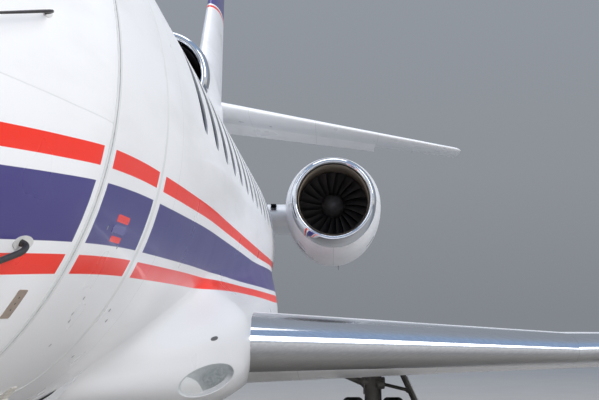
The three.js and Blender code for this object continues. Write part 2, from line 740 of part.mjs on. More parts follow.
function nacelle() {
  const outside = COWL.map(({ aft, outer, sag }) => cowlRing(aft, outer, sag));
  const inside = COWL.map(({ aft, inner }) => cowlRing(aft, inner)).reverse();
  return loft([...outside, ...inside], true);
}

const cowlBlock = (inflate) => loft(COWL.map(({ aft, outer, sag }) => cowlRing(aft, outer + inflate, sag)));

const inletLip = () => loft(LIP_PROFILE.map(({ aft, radius, sag }) => cowlRing(aft, radius, sag)), true);

function engineCore() {
  return turned([
    { aft: CORE.front, radius: 0 },
    { aft: CORE.front, radius: CORE.radius },
    { aft: CORE.back, radius: CORE.radius },
    { aft: CORE.back, radius: CORE.cone },
    { aft: CORE.end, radius: CORE.coneTip },
    { aft: CORE.end, radius: 0 },
  ], COWL_SIDES);
}

// One fan blade, standing along +X: thin sections that turn and sweep from root to tip.
function fanBlade() {
  return loft(steps(2, 0, 1).map((share) => {
    const radius = mix(FAN.hub - 12, FAN.tip, share);
    const half = mix(FAN.chord[0], FAN.chord[1], share) / 2;
    const stagger = radians(mix(FAN.stagger[0], FAN.stagger[1], share));
    const sweep = radians(FAN.swirl) * share ** 2;
    return [[-half, 0], [0, FAN.thick / 2], [half, 0], [0, -FAN.thick / 2]].map(([along, off]) => {
      const round = (along * Math.sin(stagger) + off * Math.cos(stagger)) / radius + sweep;
      const aft = (FAN.front + FAN.back) / 2 + along * Math.cos(stagger) - off * Math.sin(stagger);
      return new THREE.Vector3(radius * Math.cos(round), aft, radius * Math.sin(round));
    });
  }));
}

function fan() {
  const hub = turned([
    { aft: FAN.spinner, radius: 0 },
    { aft: FAN.spinner + 20, radius: FAN.hub * 0.36 },
    { aft: FAN.spinner + 90, radius: FAN.hub * 0.72 },
    { aft: FAN.front - 20, radius: FAN.hub },
    { aft: FAN.back + 20, radius: FAN.hub },
    { aft: FAN.back + 20, radius: FAN.shaft },
    { aft: CORE.front - FIT, radius: FAN.shaft },
    { aft: CORE.front - FIT, radius: 0 },
  ], FAN.blades / 2);
  const blade = geometryOf(fanBlade());
  const turns = Array.from({ length: FAN.blades }, (_, i) => (i / FAN.blades) * 2 * Math.PI);
  return turns.reduce((all, turn) => all.add(solid(blade.clone().rotateY(turn))), hub);
}

// The pylon is a thin wing between the fuselage and the cowl.
function pylon() {
  const length = PYLON.end - PYLON.start;
  const { blunt, half } = PYLON;
  const upper = [[0.3 * blunt, 0.6], [blunt, 1], [length - 2 * blunt, 1], [length, PYLON_EDGE]];
  const lower = upper.map(([aft, up]) => [aft, -up]).reverse();
  const outline = (x) => [[0, 0], ...upper, ...lower].map(
    ([aft, up]) => new THREE.Vector3(x, atStation(PYLON.start) + aft, PYLON.z + up * half),
  );
  const slab = loft([outline(PYLON.from), outline(PYLON.to)]);
  const cowl = moved(cowlBlock(FIT), enginePlace());
  return cut(slab, hull(PYLON.start - WALL, TAIL_END, -FIT), cowl);
}

const enginePlace = () => new THREE.Matrix4().makeTranslation(ENGINE.x, atStation(ENGINE.lip), ENGINE.z);

const topLip = () => turned(TOP_LIP_PROFILE, COWL_SIDES, true);

function centerIntake() {
  const duct = body(INTAKE_DUCT, INTAKE_DUCT[0].s, INTAKE_DUCT.at(-1).s, { sides: COWL_SIDES });
  const hollow = body(INTAKE_FAIRING, ...INTAKE_HOLLOW, { sides: COWL_SIDES, inset: REAR_WALL });
  return cut(intakeFairing(), duct, hollow, hull(CABIN_END, TAIL_END + 1, -FIT));
}

const centerEngine = () => turned(TAIL_CORE_PROFILE, COWL_SIDES);

// Landing gear

const axleHeight = (wheel) => wheel.radius * Math.cos(Math.PI / TYRE_SIDES);

// Turns a solid made about the Y axis so that its axis lies across the jet, with a flat downwards.
const across = (wheel) => moved(
  wheel,
  new THREE.Matrix4().makeRotationZ(-Math.PI / 2)
    .multiply(new THREE.Matrix4().makeRotationY(Math.PI / TYRE_SIDES)),
);

// Twin wheels with their tyres on one axle, as a single turned shape about the axle.
function twinWheels({ radius, half, rim, spread, axle }) {
  const side = [
    [0.62 * half, 0], [0.62 * half, 0.36 * rim], [0.36 * half, 0.42 * rim], [0.4 * half, 0.86 * rim],
    [0.9 * half, rim], [half, rim + 0.5 * (radius - rim)], [0.6 * half, radius],
  ];
  const outer = side.map(([out, high]) => ({ aft: spread + out, radius: high }));
  const inner = side.slice(4).reverse().map(([out, high]) => ({ aft: spread - out, radius: high }));
  const right = [...outer, ...inner, { aft: spread - 0.5 * half, radius: axle }];
  const left = right.map((row) => ({ aft: -row.aft, radius: row.radius })).reverse();
  return across(turned([...right, ...left], TYRE_SIDES));
}

// The bore for an axle, through the foot of a leg, with its flats in line with the axle's.
const axleBore = (wheel, width) => across(solid(new THREE.CylinderGeometry(
  wheel.axle + AXLE_CLEARANCE,
  wheel.axle + AXLE_CLEARANCE,
  width,
  TYRE_SIDES,
)));

// The torque links behind a leg: two arms out from the axle and the cylinder's end, and a link between.
function torqueLinks(x, y, axle, cylinderEnd, { half, aft, inner, low, high }) {
  const block = (near, bottom, top) => box([x - half, y + near, bottom], [x + half, y + aft[1], top]);
  return join(
    block(aft[0], axle + low[0], axle + low[1]),
    block(inner, axle + low[0], cylinderEnd + high[1]),
    block(aft[0], cylinderEnd + high[0], cylinderEnd + high[1]),
  );
}

// A leg standing over its wheels' axle, up to the underside of the wing.
function mainLeg() {
  const axle = axleHeight(MAIN_WHEEL);
  const { x, s } = MAIN_WHEEL;
  const y = atStation(s);
  const { top, cylinder, cylinderEnd, piston, knuckle, knuckleHalf } = MAIN_LEG;
  const { half, z, radius } = MAIN_TRUNNION;
  const { from, to } = MAIN_BRACE;
  const leg = join(
    bar([x, y, cylinderEnd], [x, y, top], cylinder),
    bar([x, y, axle], [x, y, cylinderEnd + 1], piston),
    bar([x - half, y, z], [x + half, y, z], radius),
    torqueLinks(x, y, axle, cylinderEnd, MAIN_LINKS),
    bar([from[0], y, from[1]], [to[0], y, to[1]], MAIN_BRACE.radius),
    bar([x - knuckleHalf, y, axle], [x + knuckleHalf, y, axle], knuckle, 16),
  );
  const bore = moved(axleBore(MAIN_WHEEL, BORE_REACH), new THREE.Matrix4().makeTranslation(x, y, axle));
  return cut(leg, bore, surfaceBody(WING, FIT), fairingBody(-FIT));
}

function mainGearDoor() {
  const { top, bottom, start, end, thick } = MAIN_DOOR;
  const outline = (s) => [
    [top[0], top[1]], [top[0] + thick, top[1]], [bottom[0] + thick, bottom[1]], [bottom[0], bottom[1]],
  ].map(([x, z]) => new THREE.Vector3(x, atStation(s), z));
  const y = atStation(MAIN_WHEEL.s);
  const { from, to, radius } = MAIN_DOOR_LINK;
  const link = bar([from[0], y, from[1]], [to[0] + thick, y, to[1]], radius, 12);
  const panel = loft([outline(start), outline(end)]);
  const leg = bar([MAIN_WHEEL.x, y, 0], [MAIN_WHEEL.x, y, HEIGHT], MAIN_LEG.cylinder + FIT);
  return cut(join(panel, link), leg, surfaceBody(WING, FIT));
}

function noseLeg() {
  const y = atStation(NOSE_WHEEL.s);
  const front = atStation(NOSE_DOOR.s);
  return join(
    bar([0, y, NOSE_LEG.cylinderEnd], [0, y, FLOOR.top - FLOOR.thick - FIT], NOSE_LEG.cylinder),
    bar([0, y, NOSE_LEG.cylinderEnd], [0, y, NOSE_LEG.cylinderEnd + NOSE_LEG.collarHigh], NOSE_LEG.collar),
    box([-NOSE_DOOR.half, front, NOSE_DOOR.bottom], [NOSE_DOOR.half, front + NOSE_DOOR.thick, NOSE_DOOR.top]),
    bar([0, front + NOSE_DOOR.thick / 2, NOSE_DOOR.linkZ], [0, y, NOSE_DOOR.linkZ], NOSE_DOOR.link),
  );
}

function noseFork() {
  const y = atStation(NOSE_WHEEL.s);
  const axle = axleHeight(NOSE_WHEEL);
  const { cylinderEnd, piston, knuckle, knuckleHalf } = NOSE_LEG;
  const fork = join(
    bar([0, y, axle], [0, y, cylinderEnd - FIT], piston),
    bar([-knuckleHalf, y, axle], [knuckleHalf, y, axle], knuckle, 16),
    torqueLinks(0, y, axle, cylinderEnd, NOSE_LINKS),
  );
  return cut(fork, moved(axleBore(NOSE_WHEEL, BORE_REACH), new THREE.Matrix4().makeTranslation(0, y, axle)));
}

// The jet

const jet = new THREE.Group();

function add(parent, name, shape, look, place = [0, 0, 0]) {
  const mesh = new THREE.Mesh(geometryOf(shape), new THREE.MeshStandardMaterial(look));
  mesh.name = name;
  mesh.position.set(...place);
  parent.add(mesh);
}

add(jet, 'radome', radome(), WHITE);
add(jet, 'forward_fuselage', forwardFuselage(), WHITE);
add(jet, 'cabin_fuselage', cabinFuselage(), WHITE);
add(jet, 'rear_fuselage', rearFuselage(), WHITE);
add(jet, 'tail_cone', tailCone(), WHITE);
add(jet, 'belly_fairing', bellyFairing(), WHITE);
add(jet, 'passenger_door', passengerDoor(), WHITE);
add(jet, 'cabin_floor', cabinFloor(), CARPET);
add(jet, 'cockpit_fittings', cockpitFittings(), COCKPIT_GREY);
add(jet, 'windshield_center', pane(CENTER_PANE), GLAZING);
add(jet, 'fin', fin(), WHITE);
add(jet, 'rudder', rudder.part, WHITE);
add(jet, 'center_intake', centerIntake(), WHITE);
add(jet, 'center_inlet_lip', topLip(), POLISHED, [0, atStation(TOP_INTAKE.lip), TOP_INTAKE.z]);
add(jet, 'center_engine', centerEngine(), TITANIUM, [0, atStation(TAIL_BORE.start) + FIT, TAIL_BORE.z]);
add(jet, 'nose_leg', noseLeg(), GEAR_PAINT);
add(jet, 'nose_fork', noseFork(), GEAR_PAINT);
const noseAxle = [0, atStation(NOSE_WHEEL.s), axleHeight(NOSE_WHEEL)];
add(jet, 'nose_wheels', twinWheels(NOSE_WHEEL), TYRE_BLACK, noseAxle);

// The two sides are alike, so the starboard group is the port one reflected.
const droopedElevator = swung(elevator.part, elevator.pivot, elevator.line, -ELEVATOR.droop);
const sidePieces = [
  ['windshield', pane(FRONT_PANE), GLAZING],
  ['side_window', pane(SIDE_PANE), GLAZING],
  ['landing_light', landingLight(1), LAMP],
  ['wing', wing(), WHITE],
  ['slat_inner', slat(SLAT.from, SLAT.seam - FIT), POLISHED],
  ['slat_outer', slat(SLAT.seam, SLAT.to - FIT), POLISHED],
  ['flap', flap(), WHITE],
  ['aileron', aileron.part, WHITE],
  ['tailplane', tailplane(), WHITE],
  ['elevator', droopedElevator, WHITE],
  ['pylon', pylon(), WHITE],
  ['main_leg', mainLeg(), GEAR_PAINT],
  ['main_gear_door', mainGearDoor(), WHITE],
];
const enginePieces = [
  ['nacelle', nacelle(), WHITE],
  ['inlet_lip', inletLip(), POLISHED],
  ['engine', engineCore(), CORE_METAL],
  ['fan', fan(), FAN_METAL],
];
const mainWheels = twinWheels(MAIN_WHEEL);
for (const side of ['left', 'right']) {
  const half = new THREE.Group();
  half.scale.x = side === 'left' ? 1 : -1;
  sidePieces.forEach(([name, shape, look]) => add(half, `${name}_${side}`, shape, look));
  const engine = new THREE.Group();
  engine.position.set(ENGINE.x, atStation(ENGINE.lip), ENGINE.z);
  enginePieces.forEach(([name, shape, look]) => add(engine, `${name}_${side}`, shape, look));
  half.add(engine);
  const axle = [MAIN_WHEEL.x, atStation(MAIN_WHEEL.s), axleHeight(MAIN_WHEEL)];
  add(half, `main_wheels_${side}`, mainWheels, TYRE_BLACK, axle);
  jet.add(half);
}

export default jet;
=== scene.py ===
# %% [markdown]
# # A three-engined business jet
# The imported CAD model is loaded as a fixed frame: every named solid already stands where it belongs.
# This notebook gives the jet its looks. Some solids keep their shape and get a better finish, and the
# faceted ones are covered by finer surfaces worked out with numpy. The nose points towards -Y, the port
# side is +X, and all lengths are in metres.

import json
import math

import bpy
import numpy as np
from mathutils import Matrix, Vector
from mathutils.geometry import delaunay_2d_cdt

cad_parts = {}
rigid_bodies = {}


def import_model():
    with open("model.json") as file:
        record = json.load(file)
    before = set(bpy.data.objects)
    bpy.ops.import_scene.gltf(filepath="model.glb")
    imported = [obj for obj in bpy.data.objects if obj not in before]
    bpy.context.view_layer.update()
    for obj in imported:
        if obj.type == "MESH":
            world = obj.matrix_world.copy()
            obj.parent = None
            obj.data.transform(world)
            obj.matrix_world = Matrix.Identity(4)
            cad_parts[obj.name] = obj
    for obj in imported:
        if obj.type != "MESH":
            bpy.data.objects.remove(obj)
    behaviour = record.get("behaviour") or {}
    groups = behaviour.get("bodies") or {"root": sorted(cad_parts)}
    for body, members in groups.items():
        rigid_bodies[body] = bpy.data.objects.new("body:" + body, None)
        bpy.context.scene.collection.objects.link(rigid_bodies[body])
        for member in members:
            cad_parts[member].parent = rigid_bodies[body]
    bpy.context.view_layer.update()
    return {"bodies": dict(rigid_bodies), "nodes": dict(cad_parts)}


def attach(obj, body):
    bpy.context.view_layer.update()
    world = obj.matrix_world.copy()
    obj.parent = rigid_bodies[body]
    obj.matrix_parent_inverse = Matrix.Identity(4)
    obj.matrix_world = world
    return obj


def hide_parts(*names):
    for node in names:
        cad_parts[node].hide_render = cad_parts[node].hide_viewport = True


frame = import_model()
NOSE = -10.105
SIDES = (("left", 1), ("right", -1))

# %% [markdown]
# ## Shader expressions
# A finish is a network of nodes. Wiring each one by hand takes many lines, so a small class wraps a
# socket and gives it arithmetic: writing `1 - mask` adds a Math node. One method makes any other node.


# %% Sockets with arithmetic
class Wire:
    """A node's output socket. Arithmetic on it adds Math nodes to its material."""

    def __init__(self, finish, socket):
        self.finish, self.socket = finish, socket

    def math(self, operation, *values):
        return self.finish.node("ShaderNodeMath", {"operation": operation}, dict(enumerate(values)))

    def __add__(self, other):
        return self.math("ADD", self, other)

    __radd__ = __add__

    def __mul__(self, other):
        return self.math("MULTIPLY", self, other)

    __rmul__ = __mul__

    def __sub__(self, other):
        return self.math("SUBTRACT", self, other)

    def __rsub__(self, other):
        return self.math("SUBTRACT", other, self)

    def __truediv__(self, other):
        return self.math("DIVIDE", self, other)

    def __pow__(self, other):
        return self.math("POWER", self, other)

    def size(self):
        return self.math("ABSOLUTE", self)

    def most(self, other):
        return self.math("MAXIMUM", self, other)

    def least(self, other):
        return self.math("MINIMUM", self, other)

    def wrap(self, period):
        """Distance to the nearest whole multiple of period."""
        return self.math("PINGPONG", self, period / 2)

    def rise(self, low, high):
        """0 below low, 1 above high, and a smooth step between."""
        limits = {0: self, 1: low, 2: high, 3: 0.0, 4: 1.0}
        return self.finish.node("ShaderNodeMapRange", {"interpolation_type": "SMOOTHSTEP"}, limits)

    def band(self, low, high, soft):
        """1 between low and high, 0 outside, with edges as wide as soft."""
        return self.rise(low - soft / 2, low + soft / 2) * (1 - self.rise(high - soft / 2, high + soft / 2))


class Finish:
    """A material with one Principled shader. Keyword values are set on the shader's own sockets."""

    def __init__(self, name, **values):
        self.material = bpy.data.materials.new(name)
        self.material.use_nodes = True
        self.tree = self.material.node_tree
        self.tree.nodes.clear()
        self.shader = self.tree.nodes.new("ShaderNodeBsdfPrincipled")
        self.output = self.tree.nodes.new("ShaderNodeOutputMaterial")
        self.tree.links.new(self.shader.outputs[0], self.output.inputs[0])
        for key, value in values.items():
            self.feed(key.replace("_", " "), value)
        self.place = self.node("ShaderNodeTexCoord", {}, {}, "Object")
        parts = self.node("ShaderNodeSeparateXYZ", {}, {0: self.place})
        self.x, self.y, self.z = (Wire(self, parts.socket.node.outputs[i]) for i in range(3))

    def node(self, kind, settings, inputs, output=0):
        """Adds a node: settings first, then a value or a link for each named or numbered socket."""
        made = self.tree.nodes.new(kind)
        for key, value in settings.items():
            setattr(made, key, value)
        for key, value in inputs.items():
            if isinstance(value, Wire):
                self.tree.links.new(value.socket, made.inputs[key])
            else:
                made.inputs[key].default_value = value
        return Wire(self, made.outputs[output])

    def feed(self, socket, value):
        """Gives one of the shader's sockets a value or a link."""
        if isinstance(value, Wire):
            self.tree.links.new(value.socket, self.shader.inputs[socket])
        else:
            self.shader.inputs[socket].default_value = value

    def noise(self, scale, detail=3.0, stretch=(1.0, 1.0, 1.0), rough=0.55):
        """Cloudy noise between 0 and 1, with scale cells in a metre."""
        turned = self.node("ShaderNodeMapping", {}, {"Vector": self.place, "Scale": stretch})
        return self.node(
            "ShaderNodeTexNoise", {}, {"Vector": turned, "Scale": scale, "Detail": detail, "Roughness": rough}
        )

    def mix(self, factor, first, second):
        """A colour that goes from first to second as factor goes from 0 to 1."""
        return self.node("ShaderNodeMix", {"data_type": "RGBA"}, {"Factor": factor, 6: first, 7: second}, 2)

    def bump(self, height, distance, strength=1.0):
        """Lets a height, in units of distance, tilt the surface."""
        values = {"Strength": strength, "Distance": distance, "Height": height}
        self.feed("Normal", self.node("ShaderNodeBump", {}, values))


def rgb(red, green, blue):
    """A linear colour from screen values between 0 and 255."""
    parts = np.array([red, green, blue]) / 255
    linear = np.where(parts <= 0.04045, parts / 12.92, ((parts + 0.055) / 1.055) ** 2.4)
    return (*[float(v) for v in linear], 1.0)


def cloudy(name, grain, first, second, fine=None, deep=0.0002, rough=None, **values):
    """A finish whose colour drifts between two screen colours, where grain holds the noise's scale and
    detail. rough is a roughness, how much noise adds to it and that noise. fine is a bump's noise."""
    finish = Finish(name, **values)
    finish.feed("Base Color", finish.mix(finish.noise(*grain), rgb(*first), rgb(*second)))
    if rough:
        level, spread, *cells = rough
        finish.feed("Roughness", level + finish.noise(*cells) * spread)
    if fine:
        finish.bump(finish.noise(*fine), deep)
    return finish


print("shader helpers ready")

# %% [markdown]
# ## Camera, floor and light
# The photographer stands beside the nose, below the door sill, and looks aft with a longish lens, tipped
# up by 5.7 degrees. The floor is a pale disc and the light is soft: a dome and four large area lamps.
# Polished metal and gloss show whatever surrounds them. So the dome is a plain mid grey ahead, where the
# jet stands before it, and behind the camera it goes from a white horizon to a pale blue above. The low
# lamp brightens the port side and is left out of mirrors, or it would show as a spot in the gloss.

# %% Camera
PHOTO = (599, 400)
FOCAL_PIXELS = 1155.0
SENSOR = 36.0
EYE = Vector((1.845, NOSE + 0.35, 1.455))
PITCH, YAW = math.radians(5.71), math.radians(1.52)
camera = bpy.data.objects.new("camera", bpy.data.cameras.new("camera"))
camera.data.sensor_width = SENSOR
camera.data.lens = FOCAL_PIXELS * SENSOR / PHOTO[0]
camera.data.clip_end = 300
aim = Vector((-math.sin(YAW) * math.cos(PITCH), math.cos(YAW) * math.cos(PITCH), math.sin(PITCH)))
camera.location = EYE
camera.rotation_mode = "QUATERNION"
camera.rotation_quaternion = aim.to_track_quat("-Z", "Y")
bpy.context.collection.objects.link(camera)
bpy.context.scene.camera = camera
print("lens:", round(camera.data.lens, 1), "mm")


# %% Floor
def round_turns(count):
    """Equal turns round a circle, in radians."""
    return np.linspace(0, 2 * np.pi, count + 1)[:-1]


def unit(vectors):
    """The same directions, one metre long."""
    return vectors / np.maximum(np.linalg.norm(vectors, axis=-1, keepdims=True), 1e-12)


def new_mesh(name, points, faces):
    """A mesh object at the origin from an (n, 3) array of points and an (m, 3) or (m, 4) array of faces."""
    points, faces = np.asarray(points, float), np.asarray(faces)
    mesh = bpy.data.meshes.new(name)
    mesh.from_pydata(points.tolist(), [], faces.tolist())
    mesh.update()
    made = bpy.data.objects.new(name, mesh)
    bpy.context.collection.objects.link(made)
    return made


FLOOR_REACH, FLOOR_SIDES, FLOOR_LEVEL = 90.0, 96, -0.004
turn = round_turns(FLOOR_SIDES)
rim = np.stack([FLOOR_REACH * np.cos(turn), FLOOR_REACH * np.sin(turn), 0 * turn + FLOOR_LEVEL], 1)
fan = [[i, (i + 1) % FLOOR_SIDES, FLOOR_SIDES] for i in range(FLOOR_SIDES)]
floor = new_mesh("floor", np.vstack([rim, [[0, 0, FLOOR_LEVEL]]]), fan)
ground = cloudy("pale_floor", (1.3,), (168, 164, 158), (179, 175, 169), Roughness=0.62)
floor.data.materials.append(ground.material)
print("floor:", FLOOR_REACH, "m across its radius")

# %% Light
bpy.context.scene.view_settings.view_transform = "Standard"
world = bpy.data.worlds.new("studio")
bpy.context.scene.world = world
world.use_nodes = True
sky = world.node_tree
sky.nodes.clear()
texture, split = sky.nodes.new("ShaderNodeTexCoord"), sky.nodes.new("ShaderNodeSeparateXYZ")
sky.links.new(texture.outputs["Generated"], split.inputs[0])


def dome(stops):
    """A vertical run of colours, from the floor line at 0 to straight up at 1."""
    ramp = sky.nodes.new("ShaderNodeValToRGB")
    for position, _ in stops[1:-1]:
        ramp.color_ramp.elements.new(position)
    for element, (position, color) in zip(ramp.color_ramp.elements, stops):
        element.position, element.color = position, color
    sky.links.new(split.outputs["Z"], ramp.inputs[0])
    return ramp.outputs[0]


AHEAD = [
    (0.0, rgb(146, 151, 158)), (0.12, rgb(158, 163, 170)), (0.5, rgb(172, 180, 192)),
    (1.0, rgb(186, 202, 226)),
]
BEHIND = [
    (0.0, rgb(236, 235, 231)), (0.05, rgb(255, 254, 250)), (0.13, rgb(226, 234, 246)),
    (0.35, rgb(176, 200, 234)), (1.0, rgb(172, 196, 230)),
]
turned = sky.nodes.new("ShaderNodeMapRange")
turned.interpolation_type = "SMOOTHSTEP"
turned.inputs[1].default_value, turned.inputs[2].default_value = 0.82, 0.45
sky.links.new(split.outputs["Y"], turned.inputs[0])
blend, backdrop = sky.nodes.new("ShaderNodeMix"), sky.nodes.new("ShaderNodeBackground")
blend.data_type = "RGBA"
sky.links.new(turned.outputs[0], blend.inputs["Factor"])
sky.links.new(dome(AHEAD), blend.inputs[6])
sky.links.new(dome(BEHIND), blend.inputs[7])
sky.links.new(blend.outputs[2], backdrop.inputs[0])
sky.links.new(backdrop.outputs[0], sky.nodes.new("ShaderNodeOutputWorld").inputs[0])
backdrop.inputs["Strength"].default_value = 0.78


def lamp(name, place, target, size, watts, mirrored=True):
    """A square area lamp of the given size at place, turned to target. The camera doesn't see it, and
    shiny surfaces show it only where it is mirrored."""
    light = bpy.data.lights.new(name, "AREA")
    light.shape, light.size, light.energy, light.color = "SQUARE", size, watts, (1.0, 0.955, 0.90)
    made = bpy.data.objects.new(name, light)
    made.location = place
    made.rotation_mode = "QUATERNION"
    made.rotation_quaternion = (Vector(target) - Vector(place)).to_track_quat("-Z", "Y")
    made.visible_camera, made.visible_glossy = False, mirrored
    bpy.context.collection.objects.link(made)


lamp("key", (19, -10, 15), (0, 0, 2), 16, 3050)
lamp("fill", (-15, -12, 12), (0, 0, 2), 14, 1400)
lamp("top", (0, 6, 22), (0, 4, 2), 16, 2100)
lamp("low", (22, -13, 9), (0.5, -6.4, 1.2), 12, 1500, mirrored=False)
print("lamps: 4")

# %% [markdown]
# ## Surfaces from numpy
# Most of the jet is a few smooth surfaces, each a function of two numbers. `smooth_table` turns a short
# table of sections into smooth curves. `shell` covers a flat chart of that surface with triangles, leaves
# holes where windows and doors go, bends the chart on to the surface and gives it a wall. A boolean could
# cut the holes instead, but a chart keeps every point exactly on the surface, so reflections stay clean.


# %% Smooth curves and shells
def smooth_table(rows):
    """A function of the first column that passes smoothly through the rows and never overshoots them.
    Between rows it is a cubic, whose slope at each row is the harmonic mean of its neighbours' slopes."""
    rows = np.asarray(rows, float)
    at, values = rows[:, 0], rows[:, 1:]
    steep = np.diff(values, axis=0) / np.diff(at)[:, None]
    same = steep[1:] * steep[:-1] > 0
    inner = np.where(same, 2 * steep[1:] * steep[:-1] / np.where(same, steep[1:] + steep[:-1], 1), 0)
    slope = np.vstack([steep[:1], inner, steep[-1:]])

    def curve(station):
        station = np.asarray(station, float)
        i = np.clip(np.searchsorted(at, station) - 1, 0, len(at) - 2)
        gap = at[i + 1] - at[i]
        t = ((np.clip(station, at[0], at[-1]) - at[i]) / gap)[..., None]
        gap = gap[..., None]
        return (
            (2 * t**3 - 3 * t**2 + 1) * values[i]
            + (t**3 - 2 * t**2 + t) * gap * slope[i]
            + (3 * t**2 - 2 * t**3) * values[i + 1]
            + (t**3 - t**2) * gap * slope[i + 1]
        )

    return curve


def inside(points, loop):
    """Which points lie within a closed loop, by counting the loop's edges to the right of each."""
    x, y = points[:, :1], points[:, 1:]
    (ax, ay), (bx, by) = loop.T, np.roll(loop, -1, 0).T
    crosses = ((ay > y) != (by > y)) & (x < (bx - ax) * (y - ay) / np.where(by == ay, 1e-12, by - ay) + ax)
    return crosses.sum(1) % 2 == 1


def near(points, loop, reach):
    """Which points lie closer than reach to a closed loop's edges."""
    a, b = loop[None], np.roll(loop, -1, 0)[None]
    p = points[:, None]
    along = ((p - a) * (b - a)).sum(2) / np.maximum(((b - a) ** 2).sum(2), 1e-12)
    foot = a + (b - a) * np.clip(along, 0, 1)[..., None]
    return (np.linalg.norm(p - foot, axis=2) < reach).any(1)


def chart(us, vs, holes=(), outline=None):
    """Triangles over a rectangle of grid lines us by vs, with holes left out. With an outline, only what
    lies within it is kept. Returns the flat points and the triangles."""
    grid = np.stack(np.meshgrid(us, vs, indexing="ij"), -1).reshape(-1, 2)
    loops = list(holes) + ([outline] if outline is not None else [])
    for loop in loops:
        grid = grid[~near(grid, loop, 0.55 * np.linalg.norm(np.roll(loop, -1, 0) - loop, axis=1).mean())]
    for hole in holes:
        grid = grid[~inside(grid, hole)]
    if outline is not None:
        grid = grid[inside(grid, outline)]
    edges, points = [], [grid]
    count = len(grid)
    for loop in loops:
        ring = count + np.arange(len(loop))
        edges += np.stack([ring, np.roll(ring, -1)], 1).tolist()
        points.append(loop)
        count += len(loop)
    flat, _, faces, *_ = delaunay_2d_cdt([Vector(p) for p in np.vstack(points)], edges, [], 0, 1e-7)
    flat, faces = np.array([tuple(p) for p in flat]), np.array(faces)
    middle = flat[faces].mean(1)
    keep = np.ones(len(faces), bool)
    for hole in holes:
        keep &= ~inside(middle, hole)
    if outline is not None:
        keep &= inside(middle, outline)
    faces = faces[keep]
    a, b, c = flat[faces].transpose(1, 0, 2)
    area = np.cross(b - a, c - a)
    faces = faces[np.abs(area) > 1e-9]
    area = area[np.abs(area) > 1e-9]
    faces[area < 0] = faces[area < 0][:, ::-1]
    return flat, faces


def lines(low, high, step):
    """Evenly spaced grid lines from low to high, about a step apart."""
    return np.linspace(low, high, max(2, round((high - low) / step)) + 1)


def outward(surface, flat, step=2e-4):
    """Points of the surface over flat (u, v) points and the unit normals there, by small differences."""
    u, v = flat.T
    along = surface(u + step, v) - surface(u - step, v)
    across = surface(u, v + step) - surface(u, v - step)
    return surface(u, v), unit(np.cross(along, across))


def merged(points, faces, *extras):
    """Points at the same place made one, and the faces renumbered."""
    cells = np.round(points * 2e4).astype(np.int64)
    _, first, index = np.unique(cells, axis=0, return_index=True, return_inverse=True)
    faces = index.reshape(-1)[faces]
    whole = (faces != np.roll(faces, 1, 1)).all(1)
    return (points[first], faces[whole], *[extra[first] for extra in extras])


def shell(name, surface, flat, faces, wall, lift=0.0, flip=False):
    """A closed wall on a surface: the chart's triangles lifted along the normal, the same ones a wall
    further in with their faces turned, and a strip along every open edge."""
    points, normal = outward(surface, flat)
    if flip:
        normal, faces = -normal, faces[:, ::-1]
    points, faces, normal = merged(points, faces, normal)
    count = len(points)
    edges = np.vstack([faces[:, [0, 1]], faces[:, [1, 2]], faces[:, [2, 0]]])
    code = edges[:, 0] * count + edges[:, 1]
    back = edges[:, 1] * count + edges[:, 0]
    open_edges = edges[~np.isin(code, back)]
    outer, inner = points + normal * lift, points + normal * (lift - wall)
    a, b = open_edges.T
    strips = np.vstack([np.stack([b, a, a + count], 1), np.stack([b, a + count, b + count], 1)])
    made = new_mesh(name, np.vstack([outer, inner]), np.vstack([faces, faces[:, ::-1] + count, strips]))
    mesh = made.data
    mesh.shade_smooth()
    corner_normals = np.vstack([normal[faces].reshape(-1, 3), -normal[faces[:, ::-1]].reshape(-1, 3)])
    p = np.vstack([outer, inner])[strips]
    flat_normals = unit(np.cross(p[:, 1] - p[:, 0], p[:, 2] - p[:, 0]))
    corner_normals = np.vstack([corner_normals, np.repeat(flat_normals, 3, 0)])
    mesh.normals_split_custom_set(corner_normals.tolist())
    return made


def place(piece, body, slot, finish, *replaced):
    """Puts a finish on a piece, makes it ride with a body, and hides the CAD nodes that it stands for."""
    piece.data.materials.clear()
    piece.data.materials.append(finish.material)
    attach(piece, body)
    if replaced:
        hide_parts(*replaced)
    return piece


def single(name, stacks, body, slot, finish, *replaced, loop=False, angle=40.0):
    """A piece made of stacks of rings, put in its place."""
    made = loft(name, stacks, loop, angle)
    print(name, len(made.data.polygons), "faces")
    return place(made, body, slot, finish, *replaced)


def both_sides(name, make, body, slot, finish, node=None, loop=False, angle=40.0):
    """Makes the port piece and its reflection, each in place of its CAD node if one is named. A body
    that the frame doesn't have by that name is one of a pair."""
    for side, sign in SIDES:
        stacks = [np.asarray(stack) * (sign, 1, 1) for stack in make()]
        where = body if body in frame["bodies"] else f"{body}_{side}"
        nodes = [f"{node}_{side}"] if node else []
        single(f"{name}_{side}", stacks, where, slot, finish, *nodes, loop=loop, angle=angle)


def line_inside(piece, finish, inner):
    """Gives a finish of its own to the faces that inner picks by their centres and normals."""
    polygons = piece.data.polygons
    centre, normal = np.empty(len(polygons) * 3), np.empty(len(polygons) * 3)
    polygons.foreach_get("center", centre)
    polygons.foreach_get("normal", normal)
    picked = inner(centre.reshape(-1, 3), normal.reshape(-1, 3))
    piece.data.materials.append(finish.material)
    polygons.foreach_set("material_index", picked.astype(np.int32))
    return int(picked.sum())


def looks_inward(centre, normal):
    """True where a face looks towards the fuselage's middle line, at 2.2 m."""
    away = (centre - (0, 0, 2.2)) * (1, 0, 1)
    return np.sum(away * normal, axis=1) < -0.5 * np.linalg.norm(away, axis=1)


